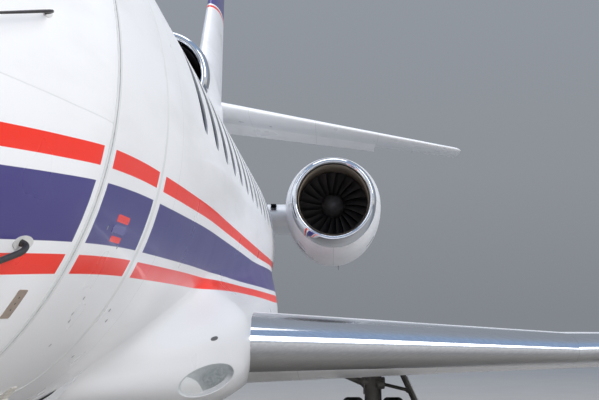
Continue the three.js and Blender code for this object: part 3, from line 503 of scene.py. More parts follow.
def within_tube(centre, normal):
    """True where a face lies deeper in the fuselage than its wall."""
    top, bottom, half, wide = np.moveaxis(fuselage_section(centre[:, 1] - NOSE), -1, 0)
    rise = centre[:, 2] - wide
    return np.hypot(centre[:, 0] / half, rise / np.where(rise > 0, top - wide, wide - bottom)) < 0.97


print("surface helpers ready")

# %% [markdown]
# ## Fuselage
# The fuselage is a tube of aluminium skin. Each section is two half ellipses that meet at its widest
# level, so five numbers for each station describe it: top, bottom, half width and the widest level. A
# faceted tube would show flat bands in its gloss, so the skin is worked out again here, every 3 degrees.

# %% Fuselage surface
FUSELAGE = np.array([
    (0, 1780, 1780, 0, 1780), (3, 1803, 1755, 33, 1780.2), (14, 1834, 1727, 66, 1780.8),
    (40, 1870, 1700, 105, 1782), (120, 1950, 1650, 180, 1788), (250, 2030, 1595, 262, 1800),
    (700, 2280, 1440, 480, 1850), (1300, 2510, 1280, 680, 1910),
    (1800, 2665, 1180, 805, 1950), (2300, 2935, 1100, 925, 2020), (2900, 3260, 1020, 1050, 2100),
    (3400, 3375, 985, 1155, 2165), (3760, 3410, 970, 1213, 2190), (4610, 3440, 955, 1240, 2200),
    (5200, 3450, 950, 1250, 2200), (12400, 3450, 950, 1250, 2200), (13600, 3430, 1060, 1210, 2240),
    (15000, 3360, 1370, 1080, 2370), (16400, 3220, 1760, 840, 2490), (17600, 3060, 2070, 580, 2565),
    (18600, 2965, 2235, 365, 2600),
]) / 1000
fuselage_section = smooth_table(FUSELAGE)
ARC = 1.25


def fuselage(station, turn):
    """A point of the skin: station metres aft of the nose tip, and turn, the arc from the port side over
    the top, in metres on a circle of radius ARC. Width goes with the cosine, height with the sine."""
    top, bottom, half, wide = np.moveaxis(fuselage_section(station), -1, 0)
    angle = turn / ARC
    rise = np.sin(angle)
    height = wide + np.where(rise > 0, top - wide, wide - bottom) * rise
    return np.stack([half * np.cos(angle), NOSE + station, height], -1)


def arc_of(angle):
    """The arc, in metres, of an angle in degrees."""
    return np.radians(angle) * ARC


def rounded(low_u, high_u, low_v, high_v, corner, side=0.06):
    """A rounded rectangle in the chart, its straight sides in steps of about side."""
    return resampled(round_rectangle(low_u, high_u, low_v, high_v, corner, 9), side)


def round_rectangle(x0, x1, z0, z1, corner, steps):
    """A rectangle whose corners are quarter circles of a few points."""
    x0, x1, z0, z1 = x0 + corner, x1 - corner, z0 + corner, z1 - corner
    turn = np.linspace(0, np.pi / 2, steps)
    return np.vstack([
        np.stack([x + corner * np.cos(turn + k * np.pi / 2), z + corner * np.sin(turn + k * np.pi / 2)], 1)
        for k, (x, z) in enumerate([(x1, z1), (x0, z1), (x0, z0), (x1, z0)])
    ])


def resampled(loop, side):
    """The same closed loop, with its long sides split into steps no longer than side."""
    parts = []
    for a, b in zip(loop, np.roll(loop, -1, 0)):
        count = max(1, math.ceil(np.linalg.norm(b - a) / side))
        parts.append(a + (b - a) * np.linspace(0, 1, count + 1)[:-1, None])
    return np.vstack(parts)


print("fuselage:", FUSELAGE[-1, 0], "m to the tail core")

# %% [markdown]
# ## Paint
# The jet is sprayed glossy white over aluminium. Three bands run along each side: orange-red, violet
# navy, orange-red. They are painted as masks on height, and droop and narrow a little towards the nose.
# The bands stop short of the two seams of the door, so the paint can be touched up when the door is
# trimmed. Decals could carry the bands, but masks follow every curve and never stretch.

# %% White paint and the bands
WHITE = rgb(244, 245, 247)
RED, NAVY = rgb(248, 52, 30), rgb(70, 64, 128)
GRIME = rgb(186, 184, 178)
DOOR_SEAMS = (3.76, 4.61)
SEAM_GAPS = ((DOOR_SEAMS[0], 0.062, 0.064), (DOOR_SEAMS[1], 0.055, 0.092))
BAND_LEVEL, RED_SHARE, NAVY_SHARE, BAND_EDGE = 2.20, 0.153, (0.27, 0.753), 0.005
BAND_START, BAND_END = 1.25, 13.9
SHEET_RINGS = (2.45, 5.0, 7.6, 10.2, 12.6, 14.1, 16.2)
HAIRLINE, WING_HAIRLINE, COWL_HAIRLINE = (0.0008, 0.0024), (0.0008, 0.0022), (0.001, 0.0026)
JOINT = rgb(120, 118, 114)


def white_base(finish, grime=0.35):
    """White paint with faint cloudy dirt that streaks along the airflow."""
    cloud = finish.noise(2.2, 5, (1, 0.25, 1.6)).rise(0.46, 0.86)
    return finish.mix(cloud * grime, WHITE, GRIME)


def hairline(distance, edges=HAIRLINE):
    """1 where a distance is nearly nought, 0 elsewhere: a joint between two sheets."""
    return 1 - distance.size().rise(*edges)


def skin_lines(finish):
    """1 on the joints between skin sheets: rings round the tube, a level line ahead of the door and
    another along the crown behind it."""
    s = finish.y - NOSE
    joints = hairline(s - SHEET_RINGS[0])
    for ring in SHEET_RINGS[1:]:
        joints = joints.most(hairline(s - ring))
    joints = joints.most(hairline(finish.z - 2.025) * (1 - s.rise(3.74, 3.75)) * s.rise(1.2, 1.21) * 0.4)
    return joints.most(hairline(finish.z - 3.08) * s.rise(4.7, 4.71))


def gloss(finish, joints, peel=0.00016):
    """Clear gloss over a faint orange peel, with the joints sunk in."""
    finish.feed("Coat Weight", 0.12)
    finish.feed("Coat Roughness", 0.05)
    finish.feed("Specular IOR Level", 0.33)
    finish.feed("Roughness", 0.24 + finish.noise(1.7, 3) * 0.1)
    ripple = finish.noise(26, 2) * 0.25 + finish.noise(1.3, 1) * 3.0
    finish.bump(ripple - joints * 3.5, peel)


def jointed(finish, joints, dark, grime=0.35):
    """Glossy white paint with joints, as dark as asked for, and an amount of grime."""
    finish.feed("Base Color", finish.mix(joints * dark, white_base(finish, grime), JOINT))
    gloss(finish, joints)


def breaks(finish):
    """0 in the white gaps at the two door seams, 1 elsewhere along the bands, tapered at both ends."""
    s = finish.y - NOSE
    fore, aft = (1 - s.band(seam - ahead, seam + behind, 0.002) for seam, ahead, behind in SEAM_GAPS)
    return fore * aft * s.band(BAND_START, BAND_END, 0.004)


def bands(finish, base):
    """Red, navy and red bands over a base colour. Across each band set a share runs from 0 at the top
    edge to 1 at the bottom edge, and each band holds a fixed part of it."""
    s = finish.y - NOSE
    droop = ((4.6 - s) / 1.51).most(0) ** 1.6
    top = 0.220 + droop * 0.063 - s.rise(4.4, 6.6) * 0.030 - s.rise(7, 12) * 0.008
    bottom = 0.603 + droop * 0.049 - s.rise(4.4, 6.2) * 0.006 + s.rise(7.4, 10.6) * 0.035
    share = ((BAND_LEVEL - finish.z) - top) / (bottom - top)
    keep = breaks(finish)
    red = share.band(0, RED_SHARE, BAND_EDGE) + share.band(1 - RED_SHARE, 1, BAND_EDGE)
    painted = finish.mix(red * keep, base, RED)
    return finish.mix(share.band(*NAVY_SHARE, BAND_EDGE) * keep, painted, NAVY)


livery = Finish("fuselage_paint")
livery_lines = skin_lines(livery)
# Painted shade: aft of about 5.5 m and below about 1.6 m, over the belly and the fairing, the white is a
# light grey.
painted_belly_shade = (livery.y - NOSE).rise(5.2, 5.9) * (1 - livery.z.rise(1.40, 1.85))
belly_white_with_shade = livery.mix(painted_belly_shade, white_base(livery), rgb(214, 215, 217))
livery.feed("Base Color", livery.mix(livery_lines * 0.5, bands(livery, belly_white_with_shade), JOINT))
gloss(livery, livery_lines)

plain_white = Finish("white_paint")
plain_at = plain_white.y - NOSE
jointed(plain_white, hairline(plain_at - 9.0).most(hairline(plain_at - 11.6)), 0.4)
print("paint: white, red and navy")

# %% [markdown]
# ## Fuselage skins
# The tube is skinned in five lengths, as the real one is. The forward length has holes for the five
# cockpit windows, the passenger door and the nose wheel bay, and the cabin length has twelve windows a
# side. All are loops on the chart, so the door's skin is the same surface cut along the same loop.

# %% Skins with holes
DOOR_SILL, DOOR_HEAD, DOOR_CORNER = arc_of(-56), arc_of(35), 0.15


def door_outline(grow=0.0, side=0.06):
    """The door's outline on the chart, grown outwards."""
    fore, aft = DOOR_SEAMS
    return rounded(fore - grow, aft + grow, DOOR_SILL - grow, DOOR_HEAD + grow, DOOR_CORNER + grow, side)


WINDOW_FIRST, WINDOW_STEP, WINDOWS = 5.94, 0.575, 12
WINDOW_ARC = (0.140, 0.570)
WINDOW_HALF = 0.135


def other_side(loop):
    """The same loop on the starboard side: its arc is counted from the other end of the half turn."""
    return np.stack([loop[:, 0], arc_of(180) - loop[:, 1]], 1)[::-1]


TURNED = (("left", lambda loop: loop), ("right", other_side))


def quad_loop(low, high, front, back, corner, shrink=0.0):
    """A four-sided loop between two angles with sloping front and back edges and round corners: a
    rounded unit square whose shares are bent on to the four sides."""
    tall = arc_of(high) - arc_of(low)
    wide = (back[0] + back[1] - front[0] - front[1]) / 2
    p, q = rounded(shrink / wide, 1 - shrink / wide, shrink / tall, 1 - shrink / tall, 0.11, 0.09).T
    start, end = front[0] + (front[1] - front[0]) * q, back[0] + (back[1] - back[0]) * q
    return np.stack([start + (end - start) * p, arc_of(low) + tall * q], 1)


PANES = {
    "center": (82, 98, (2.02, 2.02), (2.73, 2.73), 0.045),
    "front": (35, 79, (2.13, 2.02), (2.56, 2.74), 0.055),
    "side": (11, 41, (2.33, 2.68), (3.06, 3.08), 0.06),
}
pane_loops = {"windshield_center": quad_loop(*PANES["center"])}
for kind, node in (("front", "windshield"), ("side", "side_window")):
    pane_loops[node + "_left"] = quad_loop(*PANES[kind])
    pane_loops[node + "_right"] = other_side(pane_loops[node + "_left"])
BAY = np.degrees(np.arcsin(0.17 / 1.10))
bay_loop = rounded(2.64, 3.26, arc_of(-90 - BAY), arc_of(-90 + BAY), 0.02, 0.08)


def window_loop(index, grow=0.0):
    """The rounded outline of one cabin window, grown outwards by a few millimetres."""
    middle = WINDOW_FIRST + index * WINDOW_STEP
    low, high = WINDOW_ARC
    return rounded(
        middle - WINDOW_HALF - grow, middle + WINDOW_HALF + grow, low - grow, high + grow, 0.115 + grow, 0.03
    )


window_loops = [window_loop(i) for i in range(WINDOWS)]
TURN, TURN_STEPS, SKIN_WALL = (-130, 230), 120, 0.05


def skin(name, node, start, end, step, holes=(), nose=False):
    """One length of the fuselage, from start to end, as a wall with holes. At the nose the grid lines
    crowd towards the tip."""
    us = end * np.linspace(0, 1, 34) ** 2.2 if nose else lines(start, end, step)
    made = shell(name, fuselage, *chart(us, arc_of(np.linspace(*TURN, TURN_STEPS + 1)), holes), SKIN_WALL)
    place(made, "airframe", "white_paint", livery, node)
    print(name, len(made.data.polygons), "faces")
    return made


skin("nose_skin", "radome", 0, 1.15, 0.05, nose=True)
forward_holes = [*pane_loops.values(), door_outline(), bay_loop]
cabin_holes = window_loops + [other_side(loop) for loop in window_loops]
forward_skin = skin("forward_skin", "forward_fuselage", 1.1503, 5.0, 0.07, forward_holes)
cabin_skin = skin("cabin_skin", "cabin_fuselage", 5.0003, 12.6, 0.19, cabin_holes)
skin("rear_skin", "rear_fuselage", 12.6003, 15.6, 0.12)
skin("tail_skin", "tail_cone", 15.6003, 18.6, 0.12)

# %% [markdown]
# ## Door, cabin windows and cockpit panes
# The passenger door is a stair: its solid carries the treads, and a thin smooth skin covers its faceted
# outside. A rubber seal lies in the gap round it. Each window is a pane set a few millimetres into the
# skin, with a thin ring of sealant. They are cut from the same chart as their holes, so they always fit.


# %% Door skin and seal
def rings_along(path, side, up, radius, sides):
    """A circle round each point of a path, in the plane of its side and up directions."""
    turn = round_turns(sides)[None, :, None]
    return path[:, None] + radius[:, None, None] * (np.cos(turn) * side[:, None] + np.sin(turn) * up[:, None])


def tube(name, path, radius, sides=10, loop=False):
    """A round tube: a circle carried along a path of points, on frames turned as little as possible."""
    path = np.asarray(path, float)
    ahead = np.roll(path, -1, 0) - np.roll(path, 1, 0)
    if not loop:
        ahead[0], ahead[-1] = path[1] - path[0], path[-1] - path[-2]
    ahead = unit(ahead)
    side = unit(np.cross(ahead, np.eye(3)[np.argmin(np.abs(ahead).max(0))]))
    rings = rings_along(path, side, np.cross(side, ahead), np.broadcast_to(radius, len(path)), sides)
    return loft(name, [rings[:, ::-1]], loop)


def loft(name, stacks, loop=False, angle=40.0):
    """Closed skins over stacks of rings, in one mesh. Each ring is joined to the next, and the two end
    rings are closed with a fan round their middle, or joined to each other when they make a loop."""
    points, faces, start = [], [], 0
    for stack in stacks:
        stack = np.asarray(stack, float)
        count, sides = stack.shape[:2]
        index = start + np.arange(count * sides).reshape(count, sides)
        low, high = (index, np.roll(index, -1, 0)) if loop else (index[:-1], index[1:])
        a, b, c, d = low, np.roll(low, -1, 1), np.roll(high, -1, 1), high
        quads = np.stack([a, b, c, d], -1).reshape(-1, 4)
        faces += np.vstack([quads[:, [0, 1, 2]], quads[:, [0, 2, 3]]]).tolist()
        points.append(stack.reshape(-1, 3))
        start += count * sides
        if not loop:
            for ring, turned in ((index[0], True), (index[-1], False)):
                points.append(stack[0 if turned else -1].mean(0)[None])
                fan = np.stack([ring, np.roll(ring, -1), np.full(sides, start)], 1)
                faces += (fan[:, ::-1] if turned else fan).tolist()
                start += 1
    points, faces = merged(np.vstack(points), np.array(faces))
    made = new_mesh(name, points, faces)
    solid_out(made.data)
    made.data.shade_smooth()
    made.data.set_sharp_from_angle(angle=math.radians(angle))
    return made


def solid_out(mesh):
    """Turns a closed mesh's faces outwards where its volume comes out negative."""
    corners = np.empty(len(mesh.vertices) * 3)
    mesh.vertices.foreach_get("co", corners)
    corners = corners.reshape(-1, 3)
    faces = np.array([p.vertices[:] for p in mesh.polygons])
    a, b, c = corners[faces].transpose(1, 0, 2)
    if np.einsum("ij,ij->i", a, np.cross(b, c)).sum() < 0:
        mesh.flip_normals()


def several(charts):
    """Separate charts put together as one."""
    flats, faces, start = [], [], 0
    for flat, triangles in charts:
        flats.append(flat)
        faces.append(triangles + start)
        start += len(flat)
    return np.vstack(flats), np.vstack(faces)


def over(loop, step, holes=()):
    """A chart of all that lies within a loop, with grid lines a step apart."""
    (u0, v0), (u1, v1) = loop.min(0) - 1e-3, loop.max(0) + 1e-3
    return chart(lines(u0, u1, step), lines(v0, v1, step), holes, loop)


def both_charts(name, surface, make, wall, lift, slot, finish, node=None):
    """A port and a starboard piece from charts. make builds the charts from loops that its argument
    leaves as they are or turns to the other side."""
    for side, turned in TURNED:
        made = shell(f"{name}_{side}", surface, *several(make(turned)), wall, lift=lift)
        place(made, "airframe", slot, finish, *([f"{node}_{side}"] if node else []))


rubber = cloudy("seal_rubber", (60,), (112, 113, 115), (140, 141, 143), fine=(400, 2), Roughness=0.55)

DOOR_GAP, RIM, RIM_WALL = 0.007, 0.021, 0.0012
door_skin = shell("door_skin", fuselage, *over(door_outline(-DOOR_GAP), 0.07), 0.02, lift=0.0012)
place(door_skin, "door", "white_paint", livery)
seal_gap = DOOR_GAP / 2
seal_flat = rounded(
    DOOR_SEAMS[0] + seal_gap, DOOR_SEAMS[1] - seal_gap, DOOR_SILL + seal_gap, DOOR_HEAD - seal_gap,
    0.146, 0.03,
)
seal_points, seal_normals = outward(fuselage, seal_flat)
seal = tube("door_seal", seal_points - seal_normals * 0.0075, 0.0046, 8, loop=True)
place(seal, "airframe", "white_paint", rubber)
# Painted shade: the rims either side of the door's gap are a soft grey, standing for the shade where the
# skin's edge rolls into the gap.
door_edge_shade = cloudy(
    "door_edge_painted_shade", (9, 4), (212, 214, 214), (232, 233, 232), fine=(120, 2), Roughness=0.4
)
for name, body, outer, inner, lift in (
    ("door_frame_rim", "airframe", RIM, 0.0002, 0.0005),
    ("door_leaf_rim", "door", -DOOR_GAP, -DOOR_GAP - RIM, 0.0017),
):
    flat = over(door_outline(outer, 0.05), 0.5, [door_outline(inner, 0.05)])
    place(shell(name, fuselage, *flat, RIM_WALL, lift=lift), body, "white_paint", door_edge_shade)
print("door skin:", len(door_skin.data.polygons), "faces")

# %% Cabin windows
glass_dark = cloudy("window_glass", (5,), (22, 24, 30), (40, 43, 52), Roughness=0.12, Specular_IOR_Level=0.25)
sealant = cloudy("window_sealant", (40,), (150, 152, 156), (188, 190, 193), fine=(300, 2), Roughness=0.45)
RING = 0.009


def pane_charts(turned):
    """The glass of every window of a side, tucked 4 mm under the skin's edge."""
    return [over(turned(window_loop(index, 0.004)), 0.08) for index in range(WINDOWS)]


def sealant_charts(turned):
    """The ring of sealant inside the edge of every window of a side."""
    rings = [(turned(window_loop(index)), turned(window_loop(index, -RING))) for index in range(WINDOWS)]
    return [over(outer, 0.5, [inner]) for outer, inner in rings]


for name, charts, lift, finish in (
    ("cabin_windows", pane_charts, -0.014, glass_dark),
    ("window_sealant", sealant_charts, -0.0012, sealant),
):
    both_charts(name, fuselage, charts, wall=0.008, lift=lift, slot="glazing", finish=finish)
print("cabin windows:", 2 * WINDOWS)

# %% Cockpit panes
windshield = cloudy(
    "windshield_glass", (3,), (14, 19, 22), (28, 35, 38),
    Roughness=0.03, Coat_Weight=0.8, Coat_Roughness=0.02, Alpha=0.72,
)
PANE_RIM = 0.028


def shrunk(loop, by):
    """A convex loop drawn in towards its inside by a fixed distance."""
    ahead = np.roll(loop, -1, 0) - np.roll(loop, 1, 0)
    normal = np.stack([-ahead[:, 1], ahead[:, 0]], 1) / np.linalg.norm(ahead, axis=1, keepdims=True)
    return loop + normal * by


rim_charts = []
for node, loop in pane_loops.items():
    made = shell(node + "_glass", fuselage, *over(shrunk(loop, 0.001), 0.06), 0.03, lift=-0.004)
    place(made, "airframe", "glazing", windshield, node)
    rim_charts.append(over(shrunk(loop, 0.0005), 0.5, [shrunk(loop, PANE_RIM)]))
rims = shell("cockpit_pane_rims", fuselage, *several(rim_charts), 0.02, lift=-0.0015)
place(rims, "airframe", "glazing", rubber)
print("cockpit panes:", len(pane_loops))

# %% [markdown]
# ## Belly fairing and landing lights
# A rounded fairing carries the wing under the cabin. Its sections are superellipses, fuller than an
# ellipse and fuller below than above, which keeps its flanks flat and its edges round. It meets the
# fuselage in a fillet, and its top is held below the cabin floor. On each side of its nose an oval hole
# opens into a pale cup, with clear glass over it and a white cover behind the glass at its outer end.

# %% Fairing surface
FAIRING = np.array([
    (5400, 640, 1380, 1010, 1190), (6000, 1000, 1500, 925, 1230), (6600, 1255, 1640, 845, 1290),
    (7100, 1380, 1760, 800, 1330), (8500, 1392, 1845, 770, 1360), (10500, 1378, 2020, 770, 1420),
    (12000, 1296, 2120, 800, 1515), (13000, 1155, 2005, 945, 1500), (14000, 800, 1755, 1180, 1480),
    (14500, 480, 1620, 1400, 1500),
]) / 1000
FAIRING_START, FAIRING_FULL, FAIRING_END = 5.4, 8.4, 14.5
FULL_ABOVE, FULL_BELOW = 2.5, 3.0
FILLETS, SUNK = ((7.0, 8.6, 11.0), (0.20, 0.20, 0.29)), 0.004
UNDER_FLOOR, LEDGE, CABIN_END = 1.43, 0.10, 12.3
fairing_section = smooth_table(FAIRING)


def fairing(station, turn):
    """A point of the fairing: cosine and sine, each raised to the power 2 / fullness with its sign kept,
    scale the half width and the height above or below the widest level. Where it comes within the fillet
    of the fuselage, a parabola in the distance between them carries the one into the other. What lies
    deeper inside the cabin is kept under its floor."""
    half, top, bottom, wide = np.moveaxis(fairing_section(station), -1, 0)
    c, s = np.cos(turn / ARC), np.sin(turn / ARC)
    full = np.where(s > 0, FULL_ABOVE, FULL_BELOW)
    across, rise = (np.sign(v) * np.abs(v) ** (2 / full) for v in (c, s))
    x, z = half * across, np.where(s > 0, top - wide, wide - bottom) * rise
    own = np.maximum(np.hypot(x, z), 1e-6)
    x, z = x / own, z / own
    past, fillet = own - tube_reach(station, wide, x, z), np.interp(station, *FILLETS)
    near_crease = np.clip((past + fillet) / (2 * fillet), 0, 1)
    blended = np.where(past > fillet, past, near_crease**2 * fillet)
    reach = own - past + np.where(past < -fillet, past + fillet, blended)
    height = wide + z * reach
    hidden = (past < -fillet - LEDGE) & (station < CABIN_END)
    height = np.where(hidden, np.minimum(height, UNDER_FLOOR), height)
    return np.stack([x * reach, NOSE + station, height], -1)


def tube_reach(station, level, x, z):
    """How far a ray from the middle line at a level goes, in direction (x, z), before it comes within
    SUNK of the fuselage: the positive root of the ellipse's quadratic, first for the lower half of the
    section, then for the half that it reached."""
    top, bottom, half, wide = np.moveaxis(fuselage_section(station), -1, 0)
    drop = level - wide

    def positive_root(deep):
        a = (x / half) ** 2 + (z / deep) ** 2
        b = drop * z / deep**2
        return (-b + np.sqrt(np.maximum(b**2 - a * ((drop / deep) ** 2 - 1), 0))) / a

    reach = positive_root(wide - bottom)
    upper = drop + z * reach > 0
    return positive_root(np.where(upper, top - wide, wide - bottom)) - SUNK


LIGHT = {"x": 1.190, "z": 1.112, "wide": 0.119, "high": 0.0805, "tilt": 0.0355}


def on_fairing(x, z):
    """Chart points of the port fairing at given places across and up. Halving an interval finds the
    station where the fairing passes through each, then its turn round the section."""

    def shares(station):
        half, top, bottom, wide = np.moveaxis(fairing_section(station), -1, 0)
        return x / half, (z - wide) / np.where(z > wide, top - wide, wide - bottom)

    low, high = np.full(len(x), FAIRING_START + 0.02), np.full(len(x), FAIRING_FULL)
    for _ in range(40):
        middle = (low + high) / 2
        p, q = shares(middle)
        full = np.where(q > 0, FULL_ABOVE, FULL_BELOW)
        outside = np.abs(p) ** full + np.abs(q) ** full > 1
        low, high = np.where(outside, middle, low), np.where(outside, high, middle)
    p, q = shares(low)
    full = np.where(q > 0, FULL_ABOVE, FULL_BELOW)
    angle = np.arctan2(np.sign(q) * np.abs(q) ** (full / 2), np.abs(p) ** (full / 2))
    return np.stack([low, angle * ARC], 1)


def light_oval(turn, share=1.0):
    """Points across and up on the slanted oval of the light, at a share of its size."""
    x = LIGHT["x"] + share * LIGHT["wide"] * np.cos(turn)
    return x, LIGHT["z"] + share * (LIGHT["tilt"] * np.cos(turn) + LIGHT["high"] * np.sin(turn))


def counterclockwise(loop):
    """The loop in the order that keeps its inside on the left."""
    ahead = np.roll(loop, -1, 0)
    return loop if np.sum(loop[:, 0] * ahead[:, 1] - ahead[:, 0] * loop[:, 1]) > 0 else loop[::-1]


light_hole = counterclockwise(on_fairing(*light_oval(round_turns(48))))
grow_lines = np.linspace(FAIRING_START, FAIRING_FULL, 38)
lines_u = np.concatenate([grow_lines, np.linspace(FAIRING_FULL, FAIRING_END, 36)[1:]])
lines_v = arc_of(np.linspace(-90, 270, 109))
light_holes = [light_hole, other_side(light_hole)]
fairing_skin = shell("fairing_skin", fairing, *chart(lines_u, lines_v, light_holes), 0.03)
place(fairing_skin, "airframe", "white_paint", livery, "belly_fairing")
print("fairing:", len(fairing_skin.data.polygons), "faces")

# %% Landing lights
# Painted light: the cup and the white lamp faces glow faintly, though no lamp shines there.
glowing_reflector = Finish("light_reflector", Metallic=0.2, Emission_Strength=0.10)
speckle = glowing_reflector.noise(70, 5)
dull, bright = rgb(178, 184, 186), rgb(222, 226, 226)
glowing_reflector.feed("Emission Color", glowing_reflector.mix(speckle, dull, bright))
glowing_reflector.feed("Base Color", glowing_reflector.mix(speckle.rise(0.3, 0.7), dull, bright))
glowing_reflector.feed("Roughness", 0.38 + glowing_reflector.noise(6, 2) * 0.1)
glowing_lamp_face = cloudy(
    "glowing_lamp_face", (50,), (236, 238, 240), (250, 250, 250),
    Roughness=0.3, Emission_Strength=0.12,
)
glowing_lamp_face.feed("Emission Color", glowing_lamp_face.mix(glowing_lamp_face.noise(50), rgb(240, 240, 236), rgb(255, 255, 252)))
clear = cloudy(
    "light_glass", (9,), (150, 158, 164), (186, 192, 196),
    Roughness=0.04, Alpha=0.16, Coat_Weight=0.3,
)
DEEP, CUP_FLOOR = 0.11, 0.55
rim_part = np.stack(light_oval(np.radians(np.linspace(137, 262, 20)), 0.985), 1)
bow = np.linspace(0, 1, 14)[1:-1, None]
across_part = rim_part[-1] + (rim_part[0] - rim_part[-1]) * bow + 0.022 * np.sin(bow * np.pi)
cover_loop = counterclockwise(on_fairing(*np.vstack([rim_part, across_part]).T))


def pocket_part():
    """The cup behind the port light: rings that go aft and draw in with the sine of a quarter turn, a
    floor, and the outside back."""
    edge = fairing(*light_hole.T)
    back = np.array([LIGHT["x"], edge[:, 1].max() + DEEP, LIGHT["z"]])
    small = (edge - edge.mean(0)) * (CUP_FLOOR, 0.0, CUP_FLOOR)
    share = np.linspace(0, 1, 9)[:, None, None]
    cup = edge + (back + small - edge) * np.sin(share * np.pi / 2)
    base = back + small * np.array([0.7, 0.4, 0.15, 0.01])[:, None, None]
    outside = np.concatenate([edge + (0, 0.012, 0) + (cup - edge) * 1.05, base + (0, 0.04, 0)])
    return [np.concatenate([cup, base, outside[::-1]])]


both_charts(
    "light_lens", fairing, lambda turned: [over(turned(shrunk(light_hole, 0.0015)), 0.05)],
    wall=0.012, lift=-0.003, slot="lamp_glass", finish=clear, node="landing_light",
)
both_sides("light_pocket", pocket_part, "airframe", "lamp_glass", glowing_reflector, loop=True, angle=50)
both_charts(
    "light_cover", fairing, lambda turned: [over(turned(cover_loop), 0.04)],
    wall=0.012, lift=-0.020, slot="lamp_glass", finish=glowing_lamp_face,
)
print("landing lights: 2")

# %% [markdown]
# ## Wing, tail and control surfaces
# Every flying surface is one aerofoil carried along a span. The section's half thickness is a root term
# plus a quartic in the share of the chord, so the nose is round and the tail thin. Slats, flaps and
# ailerons are ranges of that share. The CAD sections have ten points a side. These have enough for the
# polished slats to mirror the room in one clean line.

# %% Aerofoil surfaces
WING = np.array([
    (1150, 6957, 4342, 1309, 112, 55), (3560, 8410, 2900, 1217, 95, 30), (9520, 11475, 1045, 1235, 80, 0),
    (9665, 11680, 810, 1240, 45, 0),
]) / 1000
TAIL = np.array([
    (0, 15650, 1900, 4350, 95, 0), (3800, 18007, 918, 4006, 80, 0), (3870, 18130, 770, 4000, 45, 0),
]) / 1000
FIN = np.array([
    (2950, 14571, 4619, 0, 88, 0), (4340, 15900, 3620, 0, 88, 0), (7480, 18980, 1213, 0, 90, 0),
    (7550, 19110, 1100, 0, 50, 0),
]) / 1000
EDGE = 0.006


def row_at(rows, at):
    """Station, chord, height, relative thickness and drop of a surface at a place along its span."""
    return [np.interp(at, rows[:, 0], rows[:, k]) for k in range(1, 6)]


def half_thickness(rows, at, share):
    """Half the section's depth at a share of the chord: the root of the share and its first four powers,
    each with a factor, and the trailing edge EDGE thick."""
    _, chord, _, thick, _ = row_at(rows, at)
    terms = zip((0.2969, -0.126, -0.3516, 0.2843, -0.1036), (0.5, 1, 2, 3, 4))
    curve = sum(factor * share**power for factor, power in terms)
    return 5 * thick * curve * chord + share * EDGE / 2


def foil(rows, at, share, up, aft=0.0):
    """The point at a share of the chord, up metres above the section's middle line. The fin stands
    upright, so there the middle line is the plane of symmetry."""
    station, chord, height, _, drop = row_at(rows, at)
    y = NOSE + station + share * chord + aft
    if rows is FIN:
        return np.stack(np.broadcast_arrays(up, y, at), -1)
    return np.stack(np.broadcast_arrays(at, y, height - drop * share * chord + up), -1)


def foil_rings(rows, spans, upper, lower, count=18):
    """Rings along the span: the upper skin from its aft limit to its front one, then the lower skin
    back. Points crowd towards the nose, with the square of their number."""
    t = np.linspace(0, 1, count)
    rings = []
    for at in spans:
        (a, b), (c, d) = ([v(at) if callable(v) else v for v in pair] for pair in (upper, lower))
        high, low = a + (b - a) * t**2, c + (d - c) * t**2
        skins = [
            foil(rows, at, high[::-1], half_thickness(rows, at, high[::-1])),
            foil(rows, at, low, -half_thickness(rows, at, low))[1 if a == c == 0 else 0 :],
        ]
        rings.append(np.vstack(skins))
    return np.array(rings)


FIT = 0.0004
SLAT_UPPER, SLAT_LOWER = 0.145, 0.085
SLAT_ROOT, SLAT_SEAM, SLAT_TIP = 1.2, 3.56, 9.38
FLAP_SPAN, FLAP_UPPER, FLAP_LOWER = (2.76, 6.80), 0.735, 0.745
AILERON_SPAN, AILERON_HINGE = (6.90, 9.20), 0.76
GAP, END_GAP = 0.010, 0.016


def fitted(share, fit):
    """A share of the wing's chord moved aft by a distance."""
    return lambda at: share + fit / row_at(WING, at)[1]


def hinge_limit(rows, hinge):
    """Where the fixed skin stops ahead of a control surface's round nose."""
    return lambda at: hinge - (half_thickness(rows, at, hinge) + GAP) / row_at(rows, at)[1]


def control_rings(rows, span, hinge, end_gap=END_GAP, pose=None):
    """A control surface: half a circle round the hinge line, then both skins straight to the tail."""
    turn = np.radians(np.linspace(90, -90, 13))
    rings = []
    for at in np.linspace(span[0] + end_gap, span[1] - end_gap, 7):
        r = half_thickness(rows, at, hinge)
        tail = np.linspace(hinge, 1, 8)[1:]
        rings.append(np.vstack([
            foil(rows, at, tail[::-1], half_thickness(rows, at, tail[::-1])),
            foil(rows, at, hinge, r * np.sin(turn), -r * np.cos(turn)),
            foil(rows, at, tail, -half_thickness(rows, at, tail)),
        ]))
    rings = np.array(rings)
    return pose(rings) if pose else rings


print("wing chord from root to tip:", WING[0, 2], "to", WING[-1, 2], "m")

# %% Polished slats
def polished(name):
    """A mirror finish with faint brushing, smears of dirt and a very slow wave. Returns it and its
    roughness, so that a piece may add to it."""
    metal = Finish(name, Metallic=1.0)
    brushed = metal.noise(70, 2, (0.04, 1, 1))
    smears = metal.noise(2.4, 4, (0.5, 1, 1.4)).rise(0.55, 0.85)
    metal.feed("Base Color", metal.mix(brushed.rise(0.3, 0.75), rgb(212, 215, 220), rgb(224, 227, 232)))
    metal.bump(metal.noise(1.1, 0, (0.3, 1, 1)), 0.0008)
    rough = 0.07 + brushed * 0.02 + smears * 0.08
    metal.feed("Roughness", rough)
    return metal, rough


steel, _ = polished("polished_metal")
slat_metal, slat_rough = polished("slat_metal")
beam = slat_metal.x.size()
nose_line = (6.957 + (beam - 1.15) * 0.603).least(8.41 + (beam - 3.56) * 0.514)
worn = (slat_metal.y - NOSE - nose_line).rise(0.20, 0.50)
slat_metal.feed("Roughness", slat_rough + worn * 0.27)


def slat_part(low, high):
    """A slat between two places along the span, as one stack of rings."""
    spans = np.linspace(low, high, 9)
    return [foil_rings(WING, spans, (0, fitted(SLAT_UPPER, -FIT)), (0, fitted(SLAT_LOWER, -FIT)), 24)]


